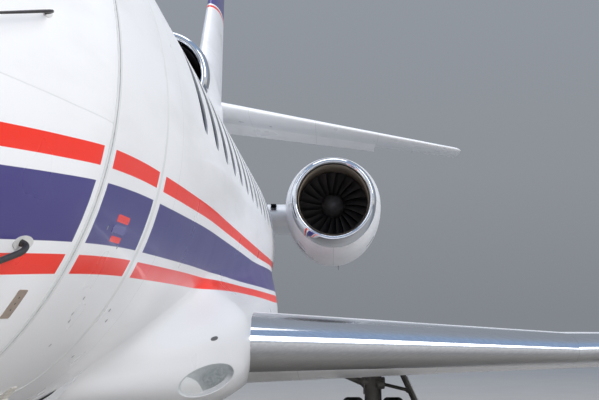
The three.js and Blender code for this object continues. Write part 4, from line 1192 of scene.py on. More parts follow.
SLATS = {"slat_inner": (SLAT_ROOT, SLAT_SEAM - 2 * FIT), "slat_outer": (SLAT_SEAM, SLAT_TIP - FIT)}
for name, span in SLATS.items():
    both_sides(name + "_skin", lambda: slat_part(*span), "airframe", "polished_metal", slat_metal, name)

# %% Wing, flap and aileron
wing_white = Finish("wing_paint")
out = wing_white.x.size()
ribs, spars = (out + 0.2).wrap(0.92), (wing_white.y - out * 0.52 + 0.4).wrap(1.3)
jointed(wing_white, hairline(ribs, WING_HAIRLINE).most(hairline(spars, WING_HAIRLINE)), 0.4, 0.5)


WING_ROOT = 1.16


def wing_part():
    """The wing as abutting stacks: behind the slats, ahead of the flap and the aileron, and the tip."""
    stacks = []
    aft = hinge_limit(WING, AILERON_HINGE)
    limits = [
        (WING_ROOT, FLAP_SPAN[0], 1, 1), (*FLAP_SPAN, FLAP_UPPER, FLAP_LOWER),
        (FLAP_SPAN[1], AILERON_SPAN[0], 1, 1), (*AILERON_SPAN, aft, aft), (AILERON_SPAN[1], SLAT_TIP, 1, 1),
    ]
    for low, high, upper, lower in limits:
        spans = [low, *WING[(WING[:, 0] > low) & (WING[:, 0] < high), 0], high]
        stacks.append(foil_rings(WING, spans, (SLAT_UPPER, upper), (SLAT_LOWER, lower), 20))
    stacks.append(foil_rings(WING, [SLAT_TIP, 9.52, 9.62, 9.665], (0, 1), (0, 1), 30))
    return stacks


def flap_part():
    """The flap, its front edge drawn aft by the fit."""
    spans = [FLAP_SPAN[0] + FIT, SLAT_SEAM, FLAP_SPAN[1] - FIT]
    return [foil_rings(WING, spans, (fitted(FLAP_UPPER, FIT), 1), (fitted(FLAP_LOWER, FIT), 1), 12)]


both_sides("wing_skin", wing_part, "airframe", "white_paint", wing_white, "wing")
both_sides("flap_skin", flap_part, "airframe", "white_skin", wing_white, "flap")
both_sides(
    "aileron_skin", lambda: [control_rings(WING, AILERON_SPAN, AILERON_HINGE)],
    "aileron", "white_skin", wing_white, "aileron",
)

# %% Tailplane and elevators
DROOP, ELEVATOR_SPAN, TAIL_HINGE = math.radians(-14), (0.23, 2.56), 0.7


def drooped(rings):
    """Turns the elevator about its hinge line, so that its trailing edge hangs: each point splits into
    a part along the line, which stays, and a part across it, which turns."""
    ends = foil(TAIL, np.array(ELEVATOR_SPAN), TAIL_HINGE, 0.0)
    line = (ends[1] - ends[0]) / np.linalg.norm(ends[1] - ends[0])
    arm = rings - ends[0]
    along = (arm @ line)[..., None] * line
    across = arm - along
    return ends[0] + along + across * math.cos(DROOP) + np.cross(line, across) * math.sin(DROOP)


def tail_part():
    """The tailplane's fixed skin: the root, ahead of the elevator, and the tip."""
    aft = hinge_limit(TAIL, TAIL_HINGE)
    return [
        foil_rings(TAIL, [0.02, ELEVATOR_SPAN[0]], (0, 1), (0, 1), 26),
        foil_rings(TAIL, np.linspace(*ELEVATOR_SPAN, 5), (0, aft), (0, aft), 26),
        foil_rings(TAIL, [ELEVATOR_SPAN[1], 3.2, 3.8, 3.85, 3.87], (0, 1), (0, 1), 26),
    ]


both_sides("tailplane_skin", tail_part, "airframe", "white_skin", wing_white, "tailplane")
both_sides(
    "elevator_skin", lambda: [control_rings(TAIL, ELEVATOR_SPAN, TAIL_HINGE, pose=drooped)], "elevator",
    "white_skin", wing_white, "elevator",
)

# %% Fin and rudder
RUDDER_SPAN, RUDDER_HINGE, RUDDER_GAP = (3.72, 7.24), 0.7, 0.027
fin_paint = Finish("fin_paint")
fin_lines = hairline((fin_paint.z + 0.1).wrap(0.78), WING_HAIRLINE)
sweep = fin_paint.z - (fin_paint.y - 7.6) * 0.09
fin_color = fin_paint.mix(fin_lines * 0.4, white_base(fin_paint), JOINT)
fin_color = fin_paint.mix(sweep.rise(6.185, 6.187), fin_color, RED)
fin_color = fin_paint.mix(sweep.rise(6.222, 6.224), fin_color, WHITE)
fin_paint.feed("Base Color", fin_paint.mix(sweep.rise(6.250, 6.252), fin_color, NAVY))
gloss(fin_paint, fin_lines)


def fin_part():
    """The fin: its foot, ahead of the rudder, and its cap."""
    aft = hinge_limit(FIN, RUDDER_HINGE)
    foot = (0, lambda at: 1 if at > 3.7 else 0.87)
    return [
        foil_rings(FIN, [2.96, RUDDER_SPAN[0]], foot, foot, 24),
        foil_rings(FIN, [RUDDER_SPAN[0], 4.34, RUDDER_SPAN[1]], (0, aft), (0, aft), 24),
        foil_rings(FIN, [RUDDER_SPAN[1], 7.48, 7.53, 7.55], (0, 1), (0, 1), 24),
    ]


single("fin_skin", fin_part(), "airframe", "white_skin", fin_paint, "fin")
rudder_rings = control_rings(FIN, RUDDER_SPAN, RUDDER_HINGE, RUDDER_GAP)
single("rudder_skin", [rudder_rings], "rudder", "white_skin", fin_paint, "rudder")
print("fin and rudder ready")

# %% [markdown]
# ## Engines
# Each side engine hangs on a pylon. Its cowl starts with a polished lip, whose section is a fat teardrop,
# and the lower half of every ring hangs below the round, where the gearbox is. Behind the lip stand
# the fan's wide swept blades, a dark case and a ring of vanes. The cowl is a profile turned round the
# engine's axis. A curve with a bevel could make it too, but a turned profile can sag on one side.

# %% Turned shapes
ENGINE = np.array([1.88, NOSE + 12.08, 2.64])


def profile_rings(rows, sides=96, sag=False):
    """Rings round the Y axis, each a circle of its row's radius at its row's distance aft. Where sag is
    asked for, the lower half is stretched downwards by the row's third number."""
    at, radius, *more = np.asarray(rows, float).T[..., None]
    turn = round_turns(sides)[None]
    stretch = np.where(np.sin(turn) < 0, more[0] if sag else 1.0, 1.0)
    return np.stack(np.broadcast_arrays(radius * np.cos(turn), at, radius * np.sin(turn) * stretch), -1)


def curve_rows(rows, count):
    """A table's rows carried on to many more by a smooth curve through them."""
    rows = np.asarray(rows, float)
    at = np.arange(len(rows))
    fine = np.linspace(0, len(rows) - 1, count)
    return smooth_table(np.column_stack([at, rows]))(fine)


def profile_wall(inside, outside, sag=False):
    """A closed wall of rings: up the inside profile, then down the outside one. Each is a table and a
    number of rings."""
    up, down = (profile_rings(curve_rows(*profile), sag=sag) for profile in (inside, outside))
    return np.concatenate([up[::-1], down])


def engine_pieces(name, stacks, slot, finish, node=None, body="airframe", loop=False, angle=40.0):
    """The port piece in the engine's own frame, set on the engine, and its reflection."""
    moved = [np.asarray(stack) + ENGINE for stack in stacks]
    both_sides(name, lambda: moved, body, slot, finish, node, loop, angle)


print("engine at", ENGINE.round(3).tolist(), "m")

# %% Cowl and polished lip
LIP_OUTSIDE = [
    (0.0, 0.396, 1.0), (0.0015, 0.4035, 1.006), (0.010, 0.4135, 1.014), (0.030, 0.4235, 1.028),
    (0.070, 0.4335, 1.05), (0.130, 0.4415, 1.07), (0.200, 0.4475, 1.09),
]
LIP_INSIDE = [
    (0.0, 0.396, 1.0), (0.0015, 0.388, 1.0), (0.010, 0.378, 1.0), (0.030, 0.3665, 1.0), (0.070, 0.3605, 1.0),
    (0.200, 0.3600, 1.0),
]
COWL_OUTSIDE = [
    (0.2004, 0.4475, 1.09), (0.38, 0.478, 1.118), (0.60, 0.505, 1.14), (1.3, 0.530, 1.18), (2.2, 0.510, 1.17),
    (2.75, 0.458, 1.1), (3.25, 0.382, 1.03), (3.60, 0.328, 1.0),
]
COWL_INSIDE = [
    (0.2004, 0.360, 1.0), (0.60, 0.384, 1.0), (2.75, 0.384, 1.0), (3.25, 0.342, 1.0), (3.60, 0.312, 1.0),
]
lip_ring = profile_wall((LIP_INSIDE, 26), (LIP_OUTSIDE, 30), sag=True)
engine_pieces("lip_skin", [lip_ring], "polished_metal", steel, "inlet_lip", loop=True, angle=35)
cowl_paint = Finish("cowl_paint")
aft_of_lip = cowl_paint.y - ENGINE[1]
cowl_lines = hairline(aft_of_lip - 0.64, COWL_HAIRLINE)
for distance in (aft_of_lip - 2.06, cowl_paint.z - ENGINE[2], cowl_paint.x.size() - ENGINE[0]):
    cowl_lines = cowl_lines.most(hairline(distance, COWL_HAIRLINE))
jointed(cowl_paint, cowl_lines, 0.45, 0.5)
cowl_ring = profile_wall((COWL_INSIDE, 12), (COWL_OUTSIDE, 40), sag=True)
engine_pieces("cowl_skin", [cowl_ring], "white_skin", cowl_paint, "nacelle", loop=True, angle=35)

# %% Fan
BLADES, HUB, TIP = 21, 0.126, 0.376
fan_metal = Finish("fan_blade_metal", Metallic=0.55)
fan_radius = ((fan_metal.x.size() - ENGINE[0]) ** 2.0 + (fan_metal.z - ENGINE[2]) ** 2.0) ** 0.5
fan_wear = fan_radius.rise(0.12, 0.37) * 0.5 + fan_metal.noise(20) * 0.3
fan_metal.feed("Base Color", fan_metal.mix(fan_wear, rgb(62, 62, 66), rgb(104, 103, 106)))
fan_metal.feed("Roughness", 0.3 + fan_metal.noise(70, 2) * 0.15)
fan_metal.bump(fan_metal.noise(120, 2), 0.0002)


def blade_rings(turned):
    """One blade: lens-shaped sections with a camber, whose stagger grows from root to tip, nearly
    radial, with its nose a little forward at mid span, then turned about the shaft."""
    share = np.linspace(0, 1, 13)[:, None]
    p = np.concatenate([np.linspace(-1, 1, 13), np.linspace(1, -1, 13)[1:-1]])[None]
    face = np.concatenate([np.ones(13), -np.ones(11)])[None]
    radius = HUB - 0.012 + (TIP - HUB + 0.010) * share
    half = (0.059 + 0.012 * share) * (1 + 0.10 * np.sin(np.pi * share))
    thick = (0.0062 - 0.0036 * share) * (1 - p**2) * face
    stagger = np.radians(22 + 38 * share)
    camber = 0.016 * (1 - p**2) * (1 - 0.5 * share)
    along, off = p * half, thick + camber
    sweep = np.radians(-9) * share**1.4
    angle = (along * np.sin(stagger) + off * np.cos(stagger)) / radius + sweep + turned
    aft = 0.840 + along * np.cos(stagger) - off * np.sin(stagger) - 0.012 * np.sin(np.pi * share)
    return np.stack([radius * np.cos(angle), aft, radius * np.sin(angle)], -1)


spinner = [
    (0.560, 0.0002), (0.562, 0.016), (0.572, 0.038), (0.605, 0.072), (0.66, 0.104), (0.725, 0.1215),
    (0.775, 0.126), (0.955, 0.126), (0.9555, 0.06), (0.999, 0.06),
]
blades = [blade_rings(2 * np.pi * k / BLADES) for k in range(BLADES)]
engine_pieces("fan_rotor", blades, "fan_metal", fan_metal, "fan", body="fan")
cone_paint = cloudy(
    "spinner_paint", (22, 4), (58, 58, 62), (84, 84, 88),
    fine=(160, 2), deep=0.0003, Roughness=0.42,
)
engine_pieces("spinner", [profile_rings(spinner, 64)], "fan_metal", cone_paint, body="fan")
case = Finish("fan_case", Metallic=0.3)
case_bands = (case.y - ENGINE[1]).wrap(0.085).rise(0.004, 0.012)
case_tone = case_bands * 0.8 + case.noise(9) * 0.2
case.feed("Base Color", case.mix(case_tone, rgb(206, 190, 164), rgb(140, 132, 122)))
case.feed("Roughness", 0.34 + case.noise(50, 2) * 0.2)
case.bump(case_bands, 0.0012)
liner = [(0.058, 0.3618), (0.21, 0.3604), (0.60, 0.3815), (1.02, 0.3815)]
liner_inside = [(0.0585, 0.3606), (0.062, 0.3592), (0.21, 0.3585), (0.60, 0.3797), (1.02, 0.3797)]
liner_ring = np.concatenate([profile_rings(liner), profile_rings(liner_inside)[::-1]])
engine_pieces("fan_case", [liner_ring], "engine_core", case, loop=True)
dark_core = cloudy(
    "engine_core_metal", (12,), (34, 32, 32), (66, 62, 60),
    fine=(90, 2), deep=0.0004, rough=(0.45, 0.2, 60, 2), Metallic=0.7,
)


def vane_rings(count, front, length, inner, outer, swirl):
    """A ring of flat guide vanes: thin plates from the inner radius to the outer one, leaning by swirl."""
    stacks = []
    for k in range(count):
        share = np.linspace(0, 1, 2)[:, None]
        p = np.array([[0, 0.5, 1, 0.5]])
        off = np.array([[0, 0.003, 0, -0.003]])
        radius = inner + (outer - inner) * share
        angle = 2 * np.pi * k / count + (off + swirl * p) / radius
        aft = front + length * p + 0 * share
        stacks.append(np.stack([radius * np.cos(angle), aft, radius * np.sin(angle)], -1))
    return stacks


core_profile = [
    (1.0, 0.0002), (1.0, 0.3838), (2.70, 0.3838), (2.7002, 0.19), (3.0, 0.165), (3.4, 0.10), (3.68, 0.045),
    (3.72, 0.028), (3.7201, 0.0002),
]
engine_pieces("engine_core_block", [profile_rings(core_profile, 72)], "engine_core", dark_core, "engine")
vanes = vane_rings(count=36, front=0.962, length=0.040, inner=0.14, outer=0.3796, swirl=0.02)
engine_pieces("fan_vanes", vanes, "engine_core", dark_core)
print("fan blades:", BLADES)

# %% [markdown]
# ## Pylons, middle intake and tail pipe
# The pylon is a thick short wing with a round nose, and a small square inlet in its root. The middle
# engine breathes through the duct ahead of the fin, behind its own polished lip, and blows out of the
# tail. Bare hot metal takes a straw and blue tint in rings, so the finish follows the distance aft.

# %% Pylons
PYLON = {"z": 2.566, "half": 0.120, "start": 12.80, "end": 15.45}


def pylon_ring(x, count=40):
    """The pylon's outline at x: half an ellipse for the nose, straight, then tapered to a thin edge."""
    t = np.linspace(0, 1, count) ** 1.7
    nose = np.sqrt(np.clip(1 - (1 - np.minimum(t / 0.16, 1)) ** 2, 0, 1))
    fall = np.clip((t - 0.66) / 0.34, 0, 1)
    high = PYLON["half"] * nose * (1 - 0.93 * fall**1.25)
    y = NOSE + PYLON["start"] + t * (PYLON["end"] - PYLON["start"])
    outline = np.concatenate([np.stack([y, high], 1)[::-1], np.stack([y, -high], 1)[1:]])
    return np.column_stack([np.full(len(outline), x), outline[:, 0], PYLON["z"] + outline[:, 1]])


def pylon_part():
    """The port pylon between the skin and the cowl, its ends sunk into both."""
    return [[pylon_ring(x) for x in np.linspace(0.98, 1.42, 8)]]


both_sides("pylon_skin", pylon_part, "airframe", "white_skin", plain_white, "pylon")
RAM, WALL = {"x": (1.205, 1.262), "half": 0.030, "z": 2.625}, 0.004
dark_metal = cloudy(
    "inlet_shadow_metal", (30,), (18, 18, 20), (44, 44, 46),
    rough=(0.5, 0.2, 80, 2), Metallic=0.4,
)


def box_ring(x0, x1, z0, z1, y, corner=0.006):
    """A rectangle with round corners at one y."""
    flat = round_rectangle(x0, x1, z0, z1, corner, 5)
    return np.insert(flat, 1, y, axis=1)


def ram_part():
    """A square-mouthed duct: an outer rectangle carried aft, then back along the inside to its floor."""
    y = NOSE + PYLON["start"] - 0.035
    x0, x1 = RAM["x"]
    z0, z1 = RAM["z"] - RAM["half"], RAM["z"] + RAM["half"]
    outer, inner = (x0, x1, z0, z1), (x0 + WALL, x1 - WALL, z0 + WALL, z1 - WALL)
    rings = [box_ring(*outer, y + 0.16), box_ring(*outer, y)]
    return [rings + [box_ring(*inner, y, 0.004), box_ring(*inner, y + 0.09, 0.004)]]


both_sides("pylon_ram_inlet", ram_part, "airframe", "white_skin", dark_metal, angle=30)

# %% Middle intake
INTAKE = np.array([
    (12990.4, 4613, 3587, 513, 4100), (13500, 4638, 3470, 531, 4060), (14500, 4602, 3150, 507, 3950),
    (15500, 4520, 2950, 430, 3830), (16600, 4330, 2900, 310, 3700), (17400, 3960, 2900, 190, 3480),
    (17900, 3650, 2900, 110, 3300),
]) / 1000
DUCT = np.array([
    (12900, 4500, 3700, 400, 4100), (13500, 4485, 3700, 392, 4092), (14500, 4400, 3660, 370, 4030),
]) / 1000
TOP_LIP = np.array([0, NOSE + 12.84, 4.10])


def section_rings(rows, stations, sides=72, grow=0.0):
    """Rings of two half ellipses about the table's widest level."""
    top, bottom, half, wide = np.moveaxis(smooth_table(rows)(np.asarray(stations)), -1, 0)[..., None]
    turn = round_turns(sides)[None]
    rise = np.sin(turn)
    z = wide + np.where(rise > 0, top - wide + grow, wide - bottom + grow) * rise
    y = np.broadcast_to(NOSE + np.asarray(stations)[:, None], z.shape)
    return np.stack([(half + grow) * np.cos(turn), y, z], -1)


MOUTH, INTAKE_END, DUCT_END = 12.9904, 17.9, 14.5
fairing_rings = np.concatenate([
    section_rings(INTAKE, [14.6], grow=-0.05), section_rings(INTAKE, [MOUTH], grow=-0.03),
    section_rings(INTAKE, MOUTH + (INTAKE_END - MOUTH) * np.linspace(0, 1, 46)),
])
single(
    "intake_fairing_skin", [fairing_rings], "airframe", "white_skin", fin_paint, "center_intake", angle=35
)
duct_at = np.linspace(MOUTH, DUCT_END, 14)
duct_rings = np.concatenate([
    section_rings(DUCT, [14.52], grow=-0.05), section_rings(DUCT, duct_at[::-1]),
    section_rings(DUCT, duct_at, grow=0.012), section_rings(DUCT, [14.54]),
])
single("intake_duct", [duct_rings], "airframe", "engine_core", dark_metal, angle=35)
TOP_OUTSIDE = [(0, 0.457), (0.002, 0.468), (0.012, 0.483), (0.04, 0.498), (0.09, 0.508), (0.150, 0.513)]
TOP_INSIDE = [(0, 0.457), (0.002, 0.446), (0.012, 0.431), (0.04, 0.412), (0.09, 0.4015), (0.150, 0.400)]
top_rings = profile_wall((TOP_INSIDE, 24), (TOP_OUTSIDE, 28)) + TOP_LIP
single(
    "center_lip_skin", [top_rings], "airframe", "polished_metal", steel, "center_inlet_lip",
    loop=True, angle=35,
)

# %% Tail pipe
hot = Finish("hot_metal", Metallic=0.95)
aft = hot.y - (NOSE + 18.5)
tint = hot.mix(aft.rise(-0.05, 0.12), rgb(150, 146, 140), rgb(168, 148, 116))
tint = hot.mix(aft.rise(0.12, 0.3), tint, rgb(112, 104, 118))
hot.feed("Base Color", hot.mix(hot.noise(7, 4).rise(0.4, 0.8) * 0.5, tint, rgb(84, 76, 70)))
hot.feed("Roughness", 0.3 + hot.noise(40, 3) * 0.2)
hot.bump(hot.noise(12, 3), 0.0015)
PIPE_START = np.array([0, NOSE + 16.8004, 2.60])
PIPE = [
    (0.0, 0.0002), (0.0004, 0.3252), (1.80, 0.3252), (1.95, 0.3185), (2.09, 0.306), (2.0902, 0.2935),
    (1.90, 0.2925), (1.50, 0.290), (1.4998, 0.150), (1.70, 0.118), (1.90, 0.062), (2.01, 0.0002),
]
pipe_rings = profile_rings(PIPE, 80) + PIPE_START
single("tail_pipe", [pipe_rings], "airframe", "exhaust_metal", hot, "center_engine", angle=35)
nozzle = [
    (3.30, 0.3700, 1.026), (3.302, 0.3790, 1.026), (3.38, 0.3675, 1.019), (3.45, 0.3565, 1.013),
    (3.54, 0.3430, 1.005), (3.62, 0.3300, 1), (3.62, 0.3235, 1), (3.30, 0.3590, 1),
]
engine_pieces("nozzle_skirt", [profile_rings(nozzle, sag=True)], "exhaust_metal", hot, loop=True, angle=35)
print("tail pipe and nozzles ready")

# %% [markdown]
# ## Wheels and tyres
# Each leg carries twin wheels on one axle. A tyre is a closed profile swept round the axle, with ribs in
# its tread. The wheel is a dished disc with round cooling holes, made as a chart in radius and arc, the
# same way as the fuselage: the holes are loops and the disc bends the chart.

# %% Wheel finishes
tyre = Finish("tyre_rubber")
tyre_dust = tyre.noise(14, 4).rise(0.42, 0.8)
tyre.feed("Base Color", tyre.mix(tyre_dust * 0.55, rgb(27, 27, 28), rgb(74, 71, 67)))
tyre.feed("Roughness", 0.74 + tyre.noise(90, 2) * 0.2)
tyre.bump(tyre.noise(260, 3), 0.0006)


def dust_and_shade_paint(name, cells, edges, most, clean, darkest, level, grain):
    """A paint whose colour and roughness both follow dark clouds: dust on the wheels, dust and painted shade
    on the gear legs.
    """
    finish = Finish(name)
    dust = finish.noise(*cells).rise(*edges)
    finish.feed("Base Color", finish.mix(dust * most, rgb(*clean), rgb(*darkest)))
    finish.feed("Roughness", level + dust * 0.3)
    finish.bump(finish.noise(grain, 2), 0.0003)
    return finish


wheel_paint = dust_and_shade_paint("wheel_paint", (26, 4), (0.45, 0.8), 0.6, (212, 214, 215), (128, 120, 110), 0.36, 220)
# Painted shade: the legs' grey is dark, and its dark clouds cover most of it, standing for the shade under
# the wing as well as dust.
gear_paint = dust_and_shade_paint(
    "gear_leg_dust_and_shade", (16, 5, (1, 1, 0.35)), (0.44, 0.78), 0.75, (126, 124, 120), (52, 47, 42), 0.38, 180
)
chrome = cloudy(
    "chromed_piston", (40,), (206, 208, 212), (232, 233, 235),
    rough=(0.08, 0.1, 120, 2, (1, 1, 0.1)), Metallic=1.0,
)
brake_metal = cloudy(
    "brake_metal", (30, 4), (58, 54, 52), (104, 96, 90),
    fine=(140, 2), deep=0.0004, rough=(0.5, 0.2, 80, 2), Metallic=0.8,
)
print("wheel and leg finishes: 5")

# %% Wheel shapes
def spun(rows, centre, sides=72):
    """A closed profile of (across, radius) rows swept round an axle that lies along X."""
    rows = np.asarray(rows, float)
    turn = round_turns(sides)[:, None]
    across, radius = rows.T[:, None]
    return np.stack(np.broadcast_arrays(across, radius * np.cos(turn), radius * np.sin(turn)), -1) + centre


def tyre_rows(middle, half, rim, radius, grooves):
    """Half the tyre's profile from its bead over the bulging sidewall and shoulder to the tread, then the
    ribs, the other half reflected, and the bead's inside."""
    deep = 0.045 * (radius - rim)
    side = [
        (0.74, 0.0), (0.80, 0.05), (0.93, 0.22), (1.0, 0.46), (0.985, 0.68), (0.90, 0.85), (0.76, 0.945),
        (0.62, 0.985),
    ]
    right = [(a * half, rim + b * (radius - rim)) for a, b in side]
    ribs = [(0.56 * half, radius)]
    for g in grooves:
        for offset, low in ((0.045, 0), (0.035, deep), (-0.035, deep), (-0.045, 0)):
            ribs.append(((g + offset) * half, radius - low))
    ribs.append((-0.56 * half, radius))
    rows = right + ribs + [(-a, b) for a, b in reversed(right)]
    rows += [(-0.6 * half, rim - 0.004), (0.6 * half, rim - 0.004)]
    return [(middle + a, b) for a, b in rows]


def disc_loop(radius, count, at, sides=20):
    """Loops of round holes of a radius, count of them round the axle at a distance from it, on a chart
    of distance and arc at that distance."""
    turn = round_turns(sides)
    around = [2 * np.pi * at * (k + 0.5) / count for k in range(count)]
    return [np.stack([at + radius * np.cos(turn), arc + radius * np.sin(turn)], 1) for arc in around]


def wheel_disc(name, centre, out, rim, hub, holes, hole_radius):
    """The dished disc: a chart of distance by arc, bent round the axle. It stands out by the square of a
    half turn's sine between hub and rim, less a steady slope."""
    at = 0.62 * rim

    def surface(u, v):
        share = (u - hub) / (rim - hub)
        across = out * (0.018 + 0.035 * np.sin(np.pi * np.clip(share, 0, 1)) ** 2 - 0.02 * share)
        turn = out * v / at
        return np.stack([across, u * np.cos(turn), u * np.sin(turn)], -1) + centre

    flat = chart(
        np.linspace(hub, rim, 6), np.linspace(0, 2 * np.pi * at, 49), disc_loop(hole_radius, holes, at)
    )
    return shell(name, surface, *flat, 0.007)


def twin_wheels(label, body, centre, spread, half, rim, radius, axle, holes, grooves, node):
    """The tyres, rims, discs, caps and axle of one pair, all on the body that turns."""
    centre = np.array(centre)
    tyres = [spun(tyre_rows(sign * spread, half, rim, radius, grooves), centre) for sign in (1, -1)]
    single(f"{label}_tyres", tyres, body, "tyre_rubber", tyre, node, loop=True, angle=30)
    flange = [
        (0.70, 1.0), (0.80, 1.045), (0.86, 1.04), (0.87, 1.0), (0.74, 0.93), (0.45, 0.90), (-0.45, 0.90),
        (-0.74, 0.93), (-0.87, 1.0), (-0.86, 1.04), (-0.80, 1.045), (-0.70, 1.0), (-0.70, 0.975),
        (0.70, 0.975),
    ]
    rims = [spun([(s * spread + a * half, b * rim) for a, b in flange], centre) for s in (1, -1)]
    single(f"{label}_rims", rims, body, "gear_paint", wheel_paint, loop=True, angle=30)
    hub = 0.30 * rim
    for s, word in ((1, "outer"), (-1, "inner")):
        at = centre + (s * spread, 0, 0)
        disc = wheel_disc(f"{label}_disc_{word}", at, s, 0.93 * rim, hub, holes, 0.085 * rim)
        place(disc, body, "gear_paint", wheel_paint)
    cap = [(0.0, 1.02), (0.010, 1.02), (0.022, 0.90), (0.034, 0.62), (0.040, 0.3), (0.041, 0.001)]
    stacks = []
    for s in (1, -1):
        rows = [(s * (spread + a), b * hub) for a, b in cap]
        rows = [(s * (spread - 0.012), 0.001), (s * (spread - 0.012), 1.02 * hub), *rows]
        stacks.append(np.stack([spun([row], centre, 40)[:, 0] for row in rows]))
    shaft = [(-spread, 0.001), (-spread, axle), (spread, axle), (spread, 0.001)]
    stacks.append(np.stack([spun([row], centre, 40)[:, 0] for row in shaft]))
    single(f"{label}_caps", stacks, body, "gear_paint", chrome, angle=30)
    drum = [(-0.5, 0.86), (0.2, 0.86), (0.2, 0.34), (-0.5, 0.34)]
    drums = [
        spun([(s * spread - s * (0.02 + a * -half * 0.9), b * rim) for a, b in drum], centre, 48)
        for s in (1, -1)
    ]
    single(f"{label}_brakes", drums, body, "gear_paint", brake_metal, loop=True, angle=30)


MAIN_AXLE = (2.225, NOSE + 10.8, 0.36485)
NOSE_LEG, TAXI_HEIGHT = NOSE + 2.89, 0.75
NOSE_AXLE = (0.0, NOSE_LEG, 0.2201)
for side, sign in SIDES:
    twin_wheels(
        f"main_wheel_{side}", f"main_wheels_{side}", np.array(MAIN_AXLE) * (sign, 1, 1),
        spread=0.178, half=0.098, rim=0.196, radius=0.3643, axle=0.0438, holes=10,
        grooves=(-0.36, -0.12, 0.12, 0.36), node=f"main_wheels_{side}",
    )
twin_wheels(
    "nose_wheel", "nose_wheels", NOSE_AXLE,
    spread=0.128, half=0.073, rim=0.112, radius=0.2197, axle=0.0298, holes=8,
    grooves=(-0.3, 0.0, 0.3), node="nose_wheels",
)

# %% [markdown]
# ## Landing gear legs
# A leg is a painted cylinder with a bright piston that slides in it, held from turning by torque links.
# A brace and a round trunnion tie it to the wing, and a door panel closes the bay when the leg is up.
# Rods are circles carried along straight lines with a radius that changes at steps and chamfers, so one
# short table makes each.

# %% Legs
def rod_rings(start, end, rows, sides=32):
    """Rings round the line from start to end: rows give a share of the way and a radius."""
    start, end = np.array(start, float), np.array(end, float)
    ahead = unit(end - start)
    side = unit(np.cross(ahead, np.eye(3)[np.argmin(np.abs(ahead))]))
    up = np.cross(ahead, side)
    turn = round_turns(sides)[:, None]
    circle = np.cos(turn) * side + np.sin(turn) * up
    return np.array([start + (end - start) * share + circle * radius for share, radius in rows])


def rod(start, end, radius, chamfer=0.004, sides=24):
    """A plain rod with chamfered ends."""
    length = np.linalg.norm(np.subtract(end, start))
    c = chamfer / length
    rows = [(0, radius - chamfer), (c, radius), (1 - c, radius), (1, radius - chamfer)]
    return rod_rings(start, end, rows, sides)


def plate(outline, low, high, bevel=0.004):
    """A flat plate across X from low to high: its (y, z) outline, drawn in a little at both faces."""
    outline = np.asarray(outline, float)
    middle = outline.mean(0)
    reach = np.linalg.norm(outline - middle, axis=1).mean()
    small = middle + (outline - middle) * (1 - bevel / reach)
    step = bevel if high > low else -bevel
    return np.array([
        np.column_stack([np.full(len(o), x), o])
        for x, o in ((low, small), (low + step, outline), (high - step, outline), (high, small))
    ])


def links(x, y, axle, top, half, aft):
    """Torque links: two tapered plates that meet behind the leg, one from the axle and one from the
    cylinder's end, with a pin through their elbow."""
    elbow_y, elbow_z = y + aft, (axle + top) / 2
    below, above = (elbow_y, elbow_z - 0.022), (elbow_y, elbow_z + 0.022)
    point = (elbow_y + 0.022, elbow_z)
    lower = [(y + 0.02, axle - 0.035), (y + 0.02, axle + 0.06), above, point, below]
    upper = [(y + 0.02, top + 0.085), (y + 0.02, top - 0.005), below, point, above]
    return [
        plate(lower, x - half, x + half), plate(upper, x - half * 0.55, x + half * 0.55),
        rod((x - half * 1.5, elbow_y, elbow_z), (x + half * 1.5, elbow_y, elbow_z), 0.015),
    ]


MAIN_X, MAIN_Y, MAIN_Z = MAIN_AXLE


def main_leg_part(axle=MAIN_Z, top=0.64):
    """The port leg: cylinder with collars, trunnion boss, brace with its end fittings, knuckle, links."""
    x, y = MAIN_X, MAIN_Y
    cylinder = [
        (0, 0.062), (0.004, 0.078), (0.06, 0.078), (0.064, 0.070), (0.075, 0.070), (0.079, 0.076),
        (0.30, 0.076), (0.31, 0.080), (0.36, 0.080), (0.37, 0.076), (1.0, 0.076),
    ]
    return [
        rod_rings((x, y, top), (x, y, 1.20), cylinder, 48),
        rod((x - 0.105, y - 0.02, 0.865), (x + 0.105, y - 0.02, 0.865), 0.045, 0.008),
        rod((x + 0.03, y - 0.085, 0.845), (x + 0.10, y - 0.085, 0.845), 0.038, 0.006),
        plate([(y - 0.03, 0.815), (y + 0.03, 0.815), (y + 0.03, 0.875), (y - 0.03, 0.875)], 2.13, 2.20),
        rod((2.18, y, 0.84), (1.60, y, 1.09), 0.031, 0.006),
        rod((2.205, y - 0.035, 0.83), (2.205, y + 0.035, 0.83), 0.026),
        rod((x - 0.062, y, axle), (x + 0.062, y, axle), 0.084, 0.006, 40),
        rod((x - 0.08, y - 0.055, 0.76), (x - 0.08, y - 0.055, 1.12), 0.009, 0.002, 12),
        rod((x + 0.062, y + 0.06, 0.70), (x + 0.062, y + 0.06, 1.12), 0.007, 0.002, 12),
        *links(x, y + 0.03, axle, top, 0.032, 0.175),
    ]


def main_piston_part():
    """The bright piston between the cylinder and the axle."""
    return [rod_rings((MAIN_X, MAIN_Y, 0.372), (MAIN_X, MAIN_Y, 0.66), [(0, 0.052), (1, 0.052)], 40)]


both_sides("main_leg_body", main_leg_part, "airframe", "gear_paint", gear_paint, "main_leg")
both_sides("main_piston", main_piston_part, "airframe", "polished_metal", chrome, angle=35.0)

# %% Main gear doors
DOOR_TOP, DOOR_LOW, DOOR_AT, DOOR_THICK = (2.400, 1.110), (2.690, 0.470), (10.38, 11.06), 0.028


